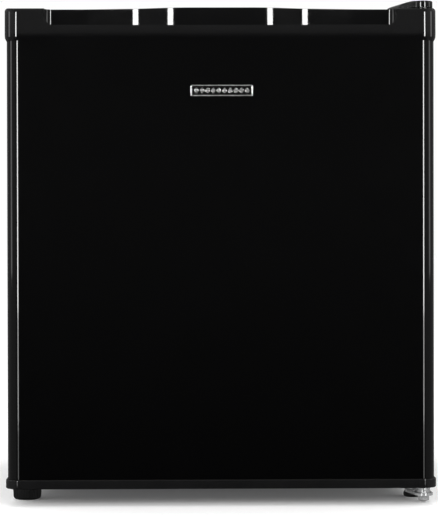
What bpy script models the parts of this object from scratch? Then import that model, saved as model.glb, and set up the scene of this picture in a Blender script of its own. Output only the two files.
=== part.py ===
"""Mini fridge: a 45 litre larder fridge with an ice box, as separate sub-parts at real size.

Units are metres. +Z is up, the door faces -Y and hinges on +X, and the origin is on the floor
under the middle of the whole appliance.
"""

import math

import bmesh
import bpy
from mathutils import Matrix, Vector

# Driving sizes -------------------------------------------------------------------------------
GAP = 0.0003  # clearance between pieces that rest on each other
SHEET = 0.001  # steel sheet
SKIN = 0.0015  # vacuum-formed plastic

DOOR_FRONT = -0.235
DOOR_BACK = -0.191
CABINET_FRONT = -0.1825
CABINET_BACK = 0.195
REAR = 0.235

CAP_HALF = 0.2207  # half the width of the door's top and bottom caps
SKIN_HALF = 0.2187
SKIN_FRONT = DOOR_FRONT + 0.002
CORNER_R = 0.013
SKIN_R = 0.012
CABINET_HALF = 0.2175
CABINET_BOTTOM = 0.018
CABINET_TOP = 0.511

DOOR_BOTTOM = 0.0179
TRIM_TOP = 0.0271
CAP_BOTTOM = 0.4755
CAP_TOP = 0.5097
CAP_FRONT_EDGE = 0.5065  # height of the sloping top at the front face
CAP_FLAT_START = DOOR_FRONT + 0.022
CAP_WALL = 0.0025
CAP_LEAN = 0.0012  # the cap's front leans back this far at its top
LIP_TOP = 0.4906
POCKET_FLOOR = 0.477
POCKET_HALF = 0.1725
POCKET_END = 0.0085
BLOCK_START = 0.176  # the corner blocks' sloping tops begin here
POCKET_NEAR = 0.013  # wall's distance behind the front face at the middle
WAVE = (  # distance from the middle, wall's slope there
    (0.0333, 0.0), (0.058, 0.28), (0.0796, 0.28), (0.0916, 0.125), (0.135, 0.10), (0.150, 0.0),
)
LIP_WALL = 0.0035

HINGE_X = 0.209
HINGE_Y = DOOR_FRONT + 0.024
PIN_R = 0.004
BUSH_R = 0.006
BOSS_R = 0.009

CAVITY_HALF = 0.184
CAVITY_TOP = 0.480
CAVITY_FLOOR = 0.054
CAVITY_BACK = 0.157
HUMP_Y = 0.020
HUMP_TOP = 0.178
LIP = 0.006  # width of the liner's front lip
BAY_FRONT = 0.040
BAY_TOP = 0.150
BAY_SLOPE = 0.018

DYKE_INNER = 0.146
DYKE_OUTER = 0.174
DYKE_DEPTH = 0.041
PAD_DEPTH = 0.013
PAD_HALF = 0.181
DYKE_TOP = 0.352

SHELF_Z = 0.2383
TRAY_Z = 0.3723
RIB_DEPTH = 0.005
RIB_H = 0.004

ICE_LEFT = -0.172
ICE_RIGHT = 0.128
ICE_BOTTOM = 0.397
ICE_TOP = 0.474
ICE_FRONT = -0.080
ICE_BACK = 0.140
FLAP_AXIS_Y = -0.0865
FLAP_AXIS_Z = 0.469

TONGUE_TOP = 0.0105
TONGUE_T = 0.0025
PLATE_BOTTOM = CABINET_TOP + GAP
PLATE_T = 0.002

CONDENSER_Y = 0.227
CONDENSER_R = 0.0025
CONDENSER_HALF = 0.165
CONDENSER_LOW = 0.190
CONDENSER_PASSES = 10
CONDENSER_PITCH = 0.031

# Materials: base colour, roughness, metallic ---------------------------------------------------
FINISHES = {
    "black_gloss": ((0.008, 0.008, 0.009), 0.08, 0.0),
    "black_paint": ((0.012, 0.012, 0.013), 0.30, 0.0),
    "black_plastic": ((0.015, 0.015, 0.016), 0.45, 0.0),
    "white_plastic": ((0.86, 0.87, 0.86), 0.30, 0.0),
    "clear_plastic": ((0.85, 0.90, 0.92), 0.10, 0.0),
    "foam": ((0.80, 0.70, 0.42), 0.90, 0.0),
    "galvanised": ((0.60, 0.61, 0.62), 0.35, 1.0),
    "zinc": ((0.75, 0.76, 0.77), 0.22, 1.0),
    "aluminium": ((0.80, 0.81, 0.82), 0.35, 1.0),
    "copper": ((0.75, 0.36, 0.22), 0.28, 1.0),
    "rubber": ((0.02, 0.02, 0.02), 0.75, 0.0),
    "glass": ((0.80, 0.92, 0.90), 0.05, 0.0),
    "badge": ((0.80, 0.80, 0.80), 0.25, 1.0),
}


def material(name):
    made = bpy.data.materials.get(name)
    if made:
        return made
    colour, roughness, metallic = FINISHES[name]
    made = bpy.data.materials.new(name)
    made.use_nodes = True
    shader = made.node_tree.nodes["Principled BSDF"]
    shader.inputs["Base Color"].default_value = (*colour, 1.0)
    shader.inputs["Roughness"].default_value = roughness
    shader.inputs["Metallic"].default_value = metallic
    made.diffuse_color = (*colour, 1.0)
    return made


# Mesh tools ------------------------------------------------------------------------------------
def solid(name, bm, finish="black_plastic"):
    """Turns a bmesh into an object with outward faces."""
    bmesh.ops.recalc_face_normals(bm, faces=bm.faces)
    mesh = bpy.data.meshes.new(name)
    bm.to_mesh(mesh)
    bm.free()
    mesh.materials.append(material(finish))
    made = bpy.data.objects.new(name, mesh)
    bpy.context.scene.collection.objects.link(made)
    return made


def box(name, low, high, finish="black_plastic"):
    bm = bmesh.new()
    bmesh.ops.create_cube(bm, size=1.0)
    size = Vector(high) - Vector(low)
    middle = (Vector(high) + Vector(low)) / 2
    bmesh.ops.transform(bm, matrix=Matrix.Translation(middle) @ Matrix.Diagonal((*size, 1.0)), verts=bm.verts)
    return solid(name, bm, finish)


def stack(name, rings, finish="black_plastic"):
    """Skins rings of equal point count into a closed solid."""
    bm = bmesh.new()
    loops = [[bm.verts.new(point) for point in ring] for ring in rings]
    count = len(loops[0])
    for lower, upper in zip(loops, loops[1:]):
        for i in range(count):
            j = (i + 1) % count
            bm.faces.new((lower[i], lower[j], upper[j], upper[i]))
    bm.faces.new(loops[0][::-1])
    bm.faces.new(loops[-1])
    return solid(name, bm, finish)


def prism(name, outline, axis, low, high, finish="black_plastic"):
    """Extrudes an outline along an axis. The outline holds the other two coordinates in X, Y, Z order."""

    def place(point, level):
        a, b = point
        return {"X": (level, a, b), "Y": (a, level, b), "Z": (a, b, level)}[axis]

    return stack(name, [[place(p, level) for p in outline] for level in (low, high)], finish)


def turned(name, profile, centre, sides=20, finish="black_plastic", stretch=(1.0, 1.0)):
    """Spins (radius, height) pairs round a vertical axis through centre."""
    rings = []
    for radius, height in profile:
        ring = []
        for i in range(sides):
            angle = math.tau * i / sides
            x = centre[0] + radius * stretch[0] * math.cos(angle)
            y = centre[1] + radius * stretch[1] * math.sin(angle)
            ring.append((x, y, height))
        rings.append(ring)
    return stack(name, rings, finish)


def rod(name, start, end, radius, sides=12, finish="black_plastic"):
    """A straight round bar between two points."""
    start, end = Vector(start), Vector(end)
    bm = bmesh.new()
    length = (end - start).length
    turn = (end - start).to_track_quat("Z", "Y").to_matrix().to_4x4()
    place = Matrix.Translation((start + end) / 2) @ turn
    bmesh.ops.create_cone(
        bm, cap_ends=True, segments=sides, radius1=radius, radius2=radius, depth=length, matrix=place
    )
    return solid(name, bm, finish)


def tube(name, points, radius, finish):
    """A bent pipe through the points, as a curve with a round bevel."""
    curve = bpy.data.curves.new(name, "CURVE")
    curve.dimensions = "3D"
    curve.bevel_depth = radius
    curve.bevel_resolution = 2
    curve.use_fill_caps = True
    spline = curve.splines.new("POLY")
    spline.points.add(len(points) - 1)
    for held, point in zip(spline.points, points):
        held.co = (*point, 1.0)
    curve.materials.append(material(finish))
    made = bpy.data.objects.new(name, curve)
    bpy.context.scene.collection.objects.link(made)
    return made


def rounded_path(corners, radius, steps=4):
    """Points along a polyline whose inner corners are arcs of the given radius."""
    corners = [Vector(c) for c in corners]
    path = [corners[0]]
    for before, corner, after in zip(corners, corners[1:], corners[2:]):
        to_before = (before - corner).normalized()
        to_after = (after - corner).normalized()
        half = to_before.angle(to_after) / 2
        reach = radius / math.tan(half)
        middle = corner + (to_before + to_after).normalized() * (radius / math.sin(half))
        start = corner + to_before * reach - middle
        end = corner + to_after * reach - middle
        swept = start.angle(end)
        for i in range(steps + 1):
            share = swept * i / steps
            path.append(middle + (start * math.sin(swept - share) + end * math.sin(share)) / math.sin(swept))
    path.append(corners[-1])
    return path


def combine(target, tool, operation):
    """Runs a Boolean on target and removes the tool."""
    modifier = target.modifiers.new("Combine", "BOOLEAN")
    modifier.operation = operation
    modifier.object = tool
    bpy.context.view_layer.update()
    graph = bpy.context.evaluated_depsgraph_get()
    mesh = bpy.data.meshes.new_from_object(target.evaluated_get(graph))
    target.modifiers.clear()
    target.data = mesh
    bpy.data.objects.remove(tool)
    return target


def cut(target, *tools):
    for tool in tools:
        combine(target, tool, "DIFFERENCE")
    return target


def join(target, *tools):
    for tool in tools:
        combine(target, tool, "UNION")
    return target


def arc(centre, radius, start, end, steps):
    """Points on an arc, with angles in degrees."""
    points = []
    for i in range(steps + 1):
        angle = math.radians(start + (end - start) * i / steps)
        points.append((centre[0] + radius * math.cos(angle), centre[1] + radius * math.sin(angle)))
    return points


# Outlines --------------------------------------------------------------------------------------
def door_plan(half, front, radius, back, steps=5):
    """The door's outline seen from above, with two round front corners."""
    left = arc((-half + radius, front + radius), radius, 180, 270, steps)
    right = arc((half - radius, front + radius), radius, 270, 360, steps)
    return [(-half, back)] + left + right + [(half, back)]


def cavity_profile(grow):
    """The food compartment from the side (Y, Z), with the step over the compressor, grown outwards."""
    return [
        (CABINET_FRONT - 0.01, CAVITY_FLOOR - grow),
        (HUMP_Y + grow, CAVITY_FLOOR - grow),
        (HUMP_Y + grow, HUMP_TOP - grow),
        (CAVITY_BACK + grow, HUMP_TOP - grow),
        (CAVITY_BACK + grow, CAVITY_TOP + grow),
        (CABINET_FRONT - 0.01, CAVITY_TOP + grow),
    ]


def grip_wall(x):
    """Distance of the grip pocket's back wall behind the door's front, at x: the integral of its slope."""
    depth = POCKET_NEAR
    for (start, before), (end, after) in zip(WAVE, WAVE[1:]):
        run = min(max(abs(x) - start, 0.0), end - start)
        slope = before + (after - before) * run / (end - start)
        depth += run * (before + slope) / 2
    return depth


def pocket_plan(grow, front):
    """The grip pocket from above: a wavy back wall and rounded ends, open towards the front."""
    reach = POCKET_HALF + grow
    wall = []
    steps = 22
    for i in range(steps + 1):
        x = -reach + 2 * reach * i / steps
        wall.append((x, DOOR_FRONT + grip_wall(x) + grow))
    end = []
    end_steps = 5
    deep = grip_wall(reach) + grow
    for i in range(1, end_steps + 1):
        angle = math.radians(80) * i / end_steps
        end.append((reach + POCKET_END * math.sin(angle), DOOR_FRONT + deep * math.cos(angle)))
    last = end[-1][0]
    left = [(-x, y) for x, y in end[::-1]]
    return [(-last, front)] + left + wall + end + [(last, front)]


# The door --------------------------------------------------------------------------------------
def make_door_top_cap():
    levels = ((CAP_BOTTOM, 0.002, 0.0), (0.4772, 0.0011, 0.0), (0.4794, 0.0003, 0.0), (0.4820, 0.0, 0.0))
    levels += ((0.5066, 0.0, CAP_LEAN), (0.5087, 0.001, CAP_LEAN), (CAP_TOP, 0.003, CAP_LEAN))
    rings = []
    for height, inset, lean in levels:
        front = DOOR_FRONT + inset + lean
        plan = door_plan(CAP_HALF - inset, front, CORNER_R - inset, DOOR_BACK)
        rings.append([(x, y, height) for x, y in plan])
    cap = stack("door_top_cap", rings, "black_gloss")
    slope = [
        (DOOR_FRONT - 0.01, CAP_FRONT_EDGE - 0.0016),
        (CAP_FLAT_START, CAP_TOP),
        (CAP_FLAT_START, CAP_TOP + 0.01),
        (DOOR_FRONT - 0.01, CAP_TOP + 0.01),
    ]
    wall = CAP_WALL + 0.0005
    inside = door_plan(CAP_HALF - wall, DOOR_FRONT + wall, CORNER_R - wall, -0.18)
    hollow = prism("hollow", inside, "Z", 0.46, 0.5035)
    keep = prism("keep", pocket_plan(CAP_WALL, DOOR_FRONT - 0.005), "Z", POCKET_FLOOR - CAP_WALL, 0.52)
    cut(hollow, keep)
    for side in (-1, 1):
        cut(hollow, turned("boss", [(BOSS_R, 0.45), (BOSS_R, 0.52)], (side * HINGE_X, HINGE_Y), 16))
    side = [(0.1705, LIP_TOP), (0.1742, 0.4912), (0.1768, 0.4930), (0.1785, 0.4956), (0.1798, 0.4990), (0.1818, 0.515)]
    opening = side + [(-x, z) for x, z in side[::-1]]
    cut(
        cap,
        prism("slope", slope, "X", -0.25, -BLOCK_START),
        prism("slope", slope, "X", BLOCK_START, 0.25),
        hollow,
        prism("pocket", pocket_plan(0.0, DOOR_FRONT + LIP_WALL), "Z", POCKET_FLOOR, 0.52),
        prism("opening", opening, "Y", DOOR_FRONT - 0.005, DOOR_FRONT + LIP_WALL + 0.001),
    )
    for side in (-1, 1):
        profile = [(BUSH_R + GAP, 0.488), (BUSH_R + GAP, 0.52)]
        cut(cap, turned("bush_hole", profile, (side * HINGE_X, HINGE_Y), 16))
    return cap


def make_door_bottom_cap():
    levels = ((DOOR_BOTTOM, 0.0012), (0.0194, 0.0003), (0.021, 0.0), (0.0245, 0.0002), (TRIM_TOP, 0.001))
    rings = []
    for height, inset in levels:
        plan = door_plan(CAP_HALF - inset, DOOR_FRONT + inset, CORNER_R - inset, DOOR_BACK)
        rings.append([(x, y, height) for x, y in plan])
    cap = stack("door_bottom_cap", rings, "black_gloss")
    wall = CAP_WALL + 0.001
    inside = door_plan(CAP_HALF - wall, DOOR_FRONT + wall, CORNER_R - wall, -0.18)
    hollow = prism("hollow", inside, "Z", 0.0205, 0.04)
    for side in (-1, 1):
        cut(hollow, turned("boss", [(BOSS_R, 0.01), (BOSS_R, 0.05)], (side * HINGE_X, HINGE_Y), 16))
    cut(cap, hollow)
    for side in (-1, 1):
        profile = [(BUSH_R + GAP, 0.01), (BUSH_R + GAP, 0.05)]
        cut(cap, turned("bush_hole", profile, (side * HINGE_X, HINGE_Y), 16))
    return cap


def make_door_skin():
    outer = door_plan(SKIN_HALF, SKIN_FRONT, SKIN_R, -0.1935)
    inner = door_plan(SKIN_HALF - SHEET, SKIN_FRONT + SHEET, SKIN_R - SHEET, -0.1935)
    return prism("door_skin", outer + inner[::-1], "Z", TRIM_TOP + GAP, CAP_BOTTOM - GAP, "black_gloss")


def door_bulge(inset, base):
    """The raised pad and the two dykes on the door's inner face, shrunk by inset, from y = base."""
    pad_top = DOOR_BACK + PAD_DEPTH - inset
    half = PAD_HALF - inset
    form = box("bulge", (-half, base, 0.057 + inset), (half, pad_top, 0.474 - inset))
    for side in (-1, 1):
        near, far = sorted((side * (DYKE_INNER + inset), side * (DYKE_OUTER - inset)))
        top = DOOR_BACK + DYKE_DEPTH - inset
        join(form, box("dyke", (near, base, 0.0615 + inset), (far, top, DYKE_TOP - inset)))
    recess = DYKE_INNER + inset
    low, high = 0.065 - inset, DYKE_TOP - 0.003 + inset
    return cut(form, box("recess", (-recess, -0.189 - inset, low), (recess, -0.1, high)))


def make_door_liner():
    liner = box("door_liner", (-0.2162, -0.1925, 0.0208), (0.2162, DOOR_BACK, 0.5032), "white_plastic")
    join(liner, door_bulge(0.0, -0.192))
    cut(liner, door_bulge(SKIN, -0.2))
    lug = 0.0022
    for height in (0.1175, 0.2875):
        for side in (-1, 1):
            near, far = sorted((side * (DYKE_INNER - lug), side * (DYKE_INNER + 0.0005)))
            join(liner, box("lug", (near, -0.176, height - 0.006), (far, -0.160, height)))
    return liner


def make_door_foam():
    plan = door_plan(SKIN_HALF - SHEET - GAP, SKIN_FRONT + SHEET + GAP, SKIN_R - SHEET - GAP, -0.1928)
    foam = prism("door_foam", plan, "Z", TRIM_TOP + GAP, CAP_BOTTOM - GAP, "foam")
    join(foam, door_bulge(SKIN + GAP, -0.195))
    return cut(foam, rod("bush_space", (HINGE_X, HINGE_Y, 0.02), (HINGE_X, HINGE_Y, 0.042), 0.0068, 16))


def make_door_gasket():
    gasket = box("door_gasket", (-0.205, DOOR_BACK + GAP, 0.033), (0.205, CABINET_FRONT - GAP, 0.501), "rubber")
    return cut(gasket, box("middle", (-0.187, -0.2, 0.051), (0.187, -0.17, 0.483)))


def make_bush(name, low, high):
    bush = turned(name, [(BUSH_R, low), (BUSH_R, high)], (HINGE_X, HINGE_Y), 20, "white_plastic")
    bore = PIN_R + GAP
    return cut(bush, turned("bore", [(bore, low - 0.01), (bore, high + 0.01)], (HINGE_X, HINGE_Y), 20))


def make_badge():
    half_x, half_z, middle_x, middle_z = 0.0317, 0.0058, 0.002, 0.4232
    radius = 0.0015
    outline = []
    for corner, (sx, sz) in enumerate(((1, 1), (-1, 1), (-1, -1), (1, -1))):
        centre = (middle_x + sx * (half_x - radius), middle_z + sz * (half_z - radius))
        outline += arc(centre, radius, 90 * corner, 90 * corner + 90, 3)
    return prism("door_badge", outline, "Y", SKIN_FRONT - 0.0012, SKIN_FRONT - GAP, "badge")


def make_rack(name, floor, front_height, end_height, hook_height):
    """A door rack: an open tray with taller ends and a rail above its front wall."""
    half, back, front, wall = 0.1435, -0.1885, -0.112, 0.0025
    rack = box(name, (-half, back, floor), (half, front, floor + end_height), "clear_plastic")
    cut(rack, box("inside", (-half + wall, back + wall, floor + wall), (half - wall, front - wall, floor + 0.2)))
    gap_top = floor + end_height - 0.008
    cut(rack, box("front_gap", (-half + wall, front - 0.01, floor + front_height), (half - wall, 0.0, gap_top)))
    cut(rack, box("back_gap", (-half + wall, -0.2, floor + front_height - 0.01), (half - wall, -0.18, floor + 0.2)))
    for side in (-1, 1):
        near, far = sorted((side * (half - 0.001), side * (half + 0.0018)))
        hook = box("hook", (near, -0.178, hook_height + GAP), (far, -0.158, hook_height + 0.005))
        join(rack, hook)
    return rack


# The cabinet -----------------------------------------------------------------------------------
def screw_hole(place, radius=0.0028, low=0.495, high=0.52):
    return rod("screw_hole", (*place, low), (*place, high), radius, 10)


TOP_SCREWS = ((0.1975, -0.163), (0.2075, -0.143))
FOOT_LEFT = (-0.2035, -0.167)
FOOT_RIGHT = (0.204, -0.158)


def make_cabinet_wrap():
    low = (-CABINET_HALF, CABINET_FRONT, CABINET_BOTTOM)
    wrap = box("cabinet_wrap", low, (CABINET_HALF, CABINET_BACK, CABINET_TOP), "black_paint")
    inner = CABINET_HALF - SHEET
    cut(wrap, box("inside", (-inner, CABINET_FRONT + SHEET, 0.0), (inner, 0.21, CABINET_TOP - SHEET)))
    mouth = CAVITY_HALF + LIP + GAP
    cut(wrap, box("mouth", (-mouth, -0.19, 0.0), (mouth, -0.17, CAVITY_TOP + LIP + GAP)))
    for place in TOP_SCREWS:
        cut(wrap, screw_hole(place))
    return wrap


def make_front_rail():
    high = CAVITY_FLOOR - LIP - GAP
    front = CABINET_FRONT
    outline = [
        (front, 0.0183), (-0.150, 0.0183), (-0.150, 0.0196),
        (front + 0.0013, 0.0196), (front + 0.0013, high), (front, high),
    ]
    half = CAVITY_HALF + LIP
    rail = prism("front_rail", outline, "X", -half, half, "galvanised")
    for side in (-1, 1):
        near, far = sorted((side * (half - 0.001), side * (CABINET_HALF - SHEET - GAP)))
        join(rail, box("wing", (near, front + SHEET + GAP, 0.0183), (far, -0.150, 0.0196)))
    for x, y in (FOOT_LEFT, FOOT_RIGHT):
        cut(rail, rod("stud_hole", (x, y, 0.01), (x, y, 0.03), 0.0044, 14))
    return rail


def sheet_profile(points, thickness):
    """A bent sheet seen edge on: the polyline and its copy moved down and forward."""
    lower = [(y - thickness, z - thickness) for y, z in points]
    lower[0] = (points[0][0], points[0][1] - thickness)
    lower[-1] = (points[-1][0], points[-1][1] - thickness)
    return points + lower[::-1]


def make_bottom_panel():
    top = CABINET_BOTTOM + SHEET
    points = [
        (-0.1495, top), (BAY_FRONT, top), (BAY_FRONT, BAY_TOP),
        (BAY_FRONT + BAY_SLOPE, BAY_TOP + BAY_SLOPE), (CABINET_BACK - 0.0015, BAY_TOP + BAY_SLOPE),
    ]
    lower = [
        (-0.1495, top - SHEET), (BAY_FRONT + SHEET, top - SHEET), (BAY_FRONT + SHEET, BAY_TOP - 0.0004),
        (BAY_FRONT + BAY_SLOPE + 0.0004, BAY_TOP + BAY_SLOPE - SHEET),
        (CABINET_BACK - 0.0015, BAY_TOP + BAY_SLOPE - SHEET),
    ]
    half = CABINET_HALF - SHEET - GAP
    return prism("bottom_panel", points + lower[::-1], "X", -half, half, "galvanised")


def make_foam_insulation():
    half = CABINET_HALF - SHEET - GAP
    back = CABINET_BACK - SHEET - GAP
    roof = BAY_TOP + BAY_SLOPE + GAP
    outline = [
        (CABINET_FRONT + SHEET + 2 * GAP, 0.0199), (BAY_FRONT - GAP, 0.0199),
        (BAY_FRONT - GAP, BAY_TOP + GAP / 2), (BAY_FRONT + BAY_SLOPE - GAP, roof),
        (back, roof), (back, CABINET_TOP - SHEET - GAP),
        (CABINET_FRONT + SHEET + 2 * GAP, CABINET_TOP - SHEET - GAP),
    ]
    foam = prism("foam_insulation", outline, "X", -half, half, "foam")
    inner = CAVITY_HALF + SKIN + GAP
    cut(foam, prism("cavity", cavity_profile(SKIN + GAP), "X", -inner, inner))
    lip = CAVITY_HALF + LIP + GAP
    low, high = CAVITY_FLOOR - LIP - GAP, CAVITY_TOP + LIP + GAP
    cut(foam, box("lip_seat", (-lip, -0.19, low), (lip, CABINET_FRONT + SKIN + GAP, high)))
    for x, y in (FOOT_LEFT, FOOT_RIGHT):
        cut(foam, rod("stud_space", (x, y, 0.01), (x, y, 0.046), 0.005, 14))
    for place in TOP_SCREWS:
        cut(foam, screw_hole(place))
    return foam


def make_inner_liner():
    half = CAVITY_HALF + SKIN
    liner = prism("inner_liner", cavity_profile(SKIN), "X", -half, half, "white_plastic")
    cut(liner, box("front_trim", (-0.3, -0.3, 0.0), (0.3, CABINET_FRONT, 0.6)))
    lip = CAVITY_HALF + LIP
    low, high = CAVITY_FLOOR - LIP, CAVITY_TOP + LIP
    join(liner, box("lip", (-lip, CABINET_FRONT, low), (lip, CABINET_FRONT + SKIN, high)))
    cut(liner, prism("cavity", cavity_profile(0.0), "X", -CAVITY_HALF, CAVITY_HALF))
    rails = ((SHELF_Z, 0.150), (TRAY_Z, 0.145), (0.150, 0.012))
    for height, back in rails:
        for side in (-1, 1):
            near, far = sorted((side * (CAVITY_HALF - RIB_DEPTH), side * (CAVITY_HALF + 0.0005)))
            top = height - GAP
            join(liner, box("rail", (near, -0.105, top - RIB_H), (far, back, top)))
    return liner


def make_back_panel():
    half = CABINET_HALF - SHEET - GAP
    low = (-half, CABINET_BACK - SHEET, BAY_TOP + BAY_SLOPE + GAP)
    return box("back_panel", low, (half, CABINET_BACK, CABINET_TOP - SHEET - GAP), "galvanised")


# Ice box, thermostat and shelves ---------------------------------------------------------------
def make_evaporator():
    wall = 0.0015
    radius = 0.012
    rings = []
    for inset, steps in ((0.0, 3), (wall, 3)):
        outline = []
        for corner, (sx, sz) in enumerate(((1, 1), (0, 1), (0, 0), (1, 0))):
            r = radius - inset
            x = ICE_RIGHT - inset - r if sx else ICE_LEFT + inset + r
            z = ICE_TOP - inset - r if sz else ICE_BOTTOM + inset + r
            outline += arc((x, z), r, 90 * corner, 90 * corner + 90, steps)
        rings.append(outline)
    outer = prism("evaporator", rings[0], "Y", ICE_FRONT, ICE_BACK, "aluminium")
    return cut(outer, prism("inside", rings[1], "Y", ICE_FRONT - 0.01, ICE_BACK - wall))


def make_freezer_frame():
    low, high = (ICE_LEFT - 0.003, -0.090, 0.3935), (ICE_RIGHT + 0.003, ICE_FRONT - GAP, 0.4775)
    frame = box("freezer_frame", low, high, "white_plastic")
    cut(frame, box("opening", (ICE_LEFT + 0.0015, -0.1, 0.3985), (ICE_RIGHT - 0.0015, -0.07, 0.4733)))
    axis = ((ICE_LEFT - 0.004, FLAP_AXIS_Y, FLAP_AXIS_Z), (ICE_RIGHT + 0.004, FLAP_AXIS_Y, FLAP_AXIS_Z))
    return cut(frame, rod("pivot_holes", *axis, 0.0018, 10))


def make_freezer_flap():
    left, right = ICE_LEFT + 0.0025, ICE_RIGHT - 0.0025
    flap = box("freezer_flap", (left, -0.088, 0.3995), (right, -0.085, 0.4715), "clear_plastic")
    join(flap, box("pull", (-0.062, -0.095, 0.4015), (0.018, -0.087, 0.4045)))
    axis = ((left - 0.002, FLAP_AXIS_Y, FLAP_AXIS_Z), (right + 0.002, FLAP_AXIS_Y, FLAP_AXIS_Z))
    return join(flap, rod("pivots", *axis, 0.0014, 10))


def make_evaporator_hangers():
    for number, x in enumerate((ICE_LEFT + 0.05, ICE_RIGHT - 0.05), 1):
        low = (x - 0.012, -0.060, ICE_TOP + GAP)
        box(f"evaporator_hanger_{number}", low, (x + 0.012, 0.120, CAVITY_TOP - GAP), "white_plastic")


def make_drip_tray():
    half, wall = 0.1825, 0.002
    tray = box("drip_tray", (-half, -0.084, TRAY_Z), (half, 0.140, TRAY_Z + 0.0165), "clear_plastic")
    cut(tray, box("inside", (-half + wall, -0.084 + wall, TRAY_Z + wall), (half - wall, 0.140 - wall, 0.42)))
    return join(tray, box("pull", (-0.06, -0.094, TRAY_Z + 0.012), (0.06, -0.083, TRAY_Z + 0.0145)))


THERMOSTAT = (0.162, -0.040, 0.436)


def make_thermostat():
    x, front, z = THERMOSTAT
    wall = 0.002
    low, high = (0.139, front, 0.398), (CAVITY_HALF - GAP, 0.060, 0.4745)
    housing = box("thermostat_housing", low, high, "white_plastic")
    cut(housing, box("inside", (low[0] + wall, front + wall, low[2] + wall), (0.19, 0.07, high[2] - wall)))
    cut(housing, rod("shaft_hole", (x, front - 0.01, z), (x, front + 0.01, z), 0.0042, 14))
    box("thermostat_switch", (x - 0.016, front + wall + GAP, z - 0.018), (x + 0.016, 0.0, z + 0.018), "galvanised")
    knob = rod("thermostat_knob", (x, front - 0.016, z), (x, front - GAP, z), 0.016, 24, "white_plastic")
    join(knob, box("grip", (x - 0.003, front - 0.023, z - 0.0145), (x + 0.003, front - 0.015, z + 0.0145)))
    join(knob, rod("shaft", (x, front - 0.001, z), (x, front + wall - GAP, z), 0.0037, 14))
    bulb = [(0.1360, 0.030, 0.430), (0.1312, 0.030, 0.430), (0.1312, 0.085, 0.430), (0.1312, 0.085, 0.415)]
    tube("thermostat_sensor", rounded_path(bulb, 0.003, 2), 0.0012, "copper")


def make_shelf():
    thickness = 0.004
    glass = box("shelf_glass", (-0.1825, -0.098, SHELF_Z), (0.1825, 0.150, SHELF_Z + thickness), "glass")
    low, high = (-0.1765, -0.103, SHELF_Z - 0.0022), (0.1765, -0.090, SHELF_Z + 0.0075)
    trim = box("shelf_trim_front", low, high, "white_plastic")
    cut(trim, box("seat", (-0.2, -0.0983, SHELF_Z - GAP), (0.2, 0.2, SHELF_Z + thickness + GAP)))
    return glass


# Refrigeration at the back ---------------------------------------------------------------------
BASE_Z = 0.0183
COMPRESSOR = (-0.055, 0.124)
GROMMETS = tuple((COMPRESSOR[0] + sx * 0.080, COMPRESSOR[1] + sy * 0.045) for sx in (-1, 1) for sy in (-1, 1))
FOOT_PLATE_Z = 0.034


def make_compressor():
    half = CABINET_HALF - SHEET - GAP
    box("compressor_base", (-half, 0.058, BASE_Z), (half, 0.193, BASE_Z + 0.002), "galvanised")
    profile = [
        (0.020, 0.036), (0.042, 0.040), (0.052, 0.052), (0.055, 0.070), (0.055, 0.084),
        (0.058, 0.0845), (0.058, 0.0885), (0.055, 0.089), (0.054, 0.112), (0.047, 0.130), (0.030, 0.139), (0.010, 0.141),
    ]
    shell = turned("compressor_shell", profile, COMPRESSOR, 20, "black_paint", (1.18, 1.0))
    x, y = COMPRESSOR
    low = (x - 0.092, y - 0.055, FOOT_PLATE_Z)
    plate = box("plate", low, (x + 0.092, y + 0.055, FOOT_PLATE_Z + 0.003), "black_paint")
    for place in GROMMETS:
        cut(plate, rod("hole", (*place, 0.02), (*place, 0.05), 0.0062, 12))
    join(shell, plate)
    for number, place in enumerate(GROMMETS, 1):
        base = BASE_Z + 0.002 + GAP
        top = FOOT_PLATE_Z + 0.003
        profile = [(0.010, base), (0.010, FOOT_PLATE_Z - GAP), (0.0059, FOOT_PLATE_Z - GAP / 2)]
        profile += [(0.0059, top + GAP), (0.009, top + 2 * GAP), (0.009, top + 0.005)]
        turned(f"compressor_grommet_{number}", profile, place, 12, "rubber")
    box("compressor_relay_cover", (x + 0.0690, y - 0.022, 0.060), (x + 0.100, y + 0.026, 0.118), "black_plastic")


RISER_X = 0.192
DRIER_X = 0.150


def make_condenser():
    top = CONDENSER_LOW + CONDENSER_PITCH * (CONDENSER_PASSES - 1)
    reach, back = CONDENSER_HALF, CONDENSER_Y
    x, y = COMPRESSOR[0] + 0.025, COMPRESSOR[1] + 0.013
    corners = [(x, y, 0.1413), (x, y, 0.156), (RISER_X, y, 0.156), (RISER_X, back, 0.156), (RISER_X, back, top)]
    for number in range(CONDENSER_PASSES):
        height = top - number * CONDENSER_PITCH
        side = -1 if number % 2 == 0 else 1
        if number:
            corners.append((-side * reach, back, height))
        corners.append((side * reach, back, height))
    corners[-1] = (DRIER_X, back, height)
    corners.append((DRIER_X, back, 0.1395))
    tube("condenser_tube", rounded_path(corners, 0.013, 4), CONDENSER_R, "black_paint")
    wire = 0.0016
    low, high = CONDENSER_LOW - 0.012, top + 0.012
    y = CONDENSER_Y + CONDENSER_R + GAP
    grille = box("condenser_wires", (-0.172, y, low), (0.172, y + wire, high), "black_paint")
    pitch = 0.0201
    for i in range(17):
        left = -0.172 + wire + i * pitch
        slot = ((left, y - 0.01, low + wire), (left + pitch - wire, y + 0.01, high - wire))
        cut(grille, box("slot", *slot))
    for number, x in enumerate((-0.168, 0.168), 1):
        y = CONDENSER_Y - CONDENSER_R - GAP
        outline = [
            (x - 0.014, CABINET_BACK + GAP), (x + 0.014, CABINET_BACK + GAP), (x + 0.014, CABINET_BACK + 0.002),
            (x + 0.006, CABINET_BACK + 0.002), (x + 0.006, y), (x - 0.006, y), (x - 0.006, y - 0.0015),
            (x + 0.0045, y - 0.0015), (x + 0.0045, CABINET_BACK + 0.002), (x - 0.014, CABINET_BACK + 0.002),
        ]
        prism(f"condenser_bracket_{number}", outline, "Z", low + 0.01, high - 0.01, "galvanised")


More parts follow.
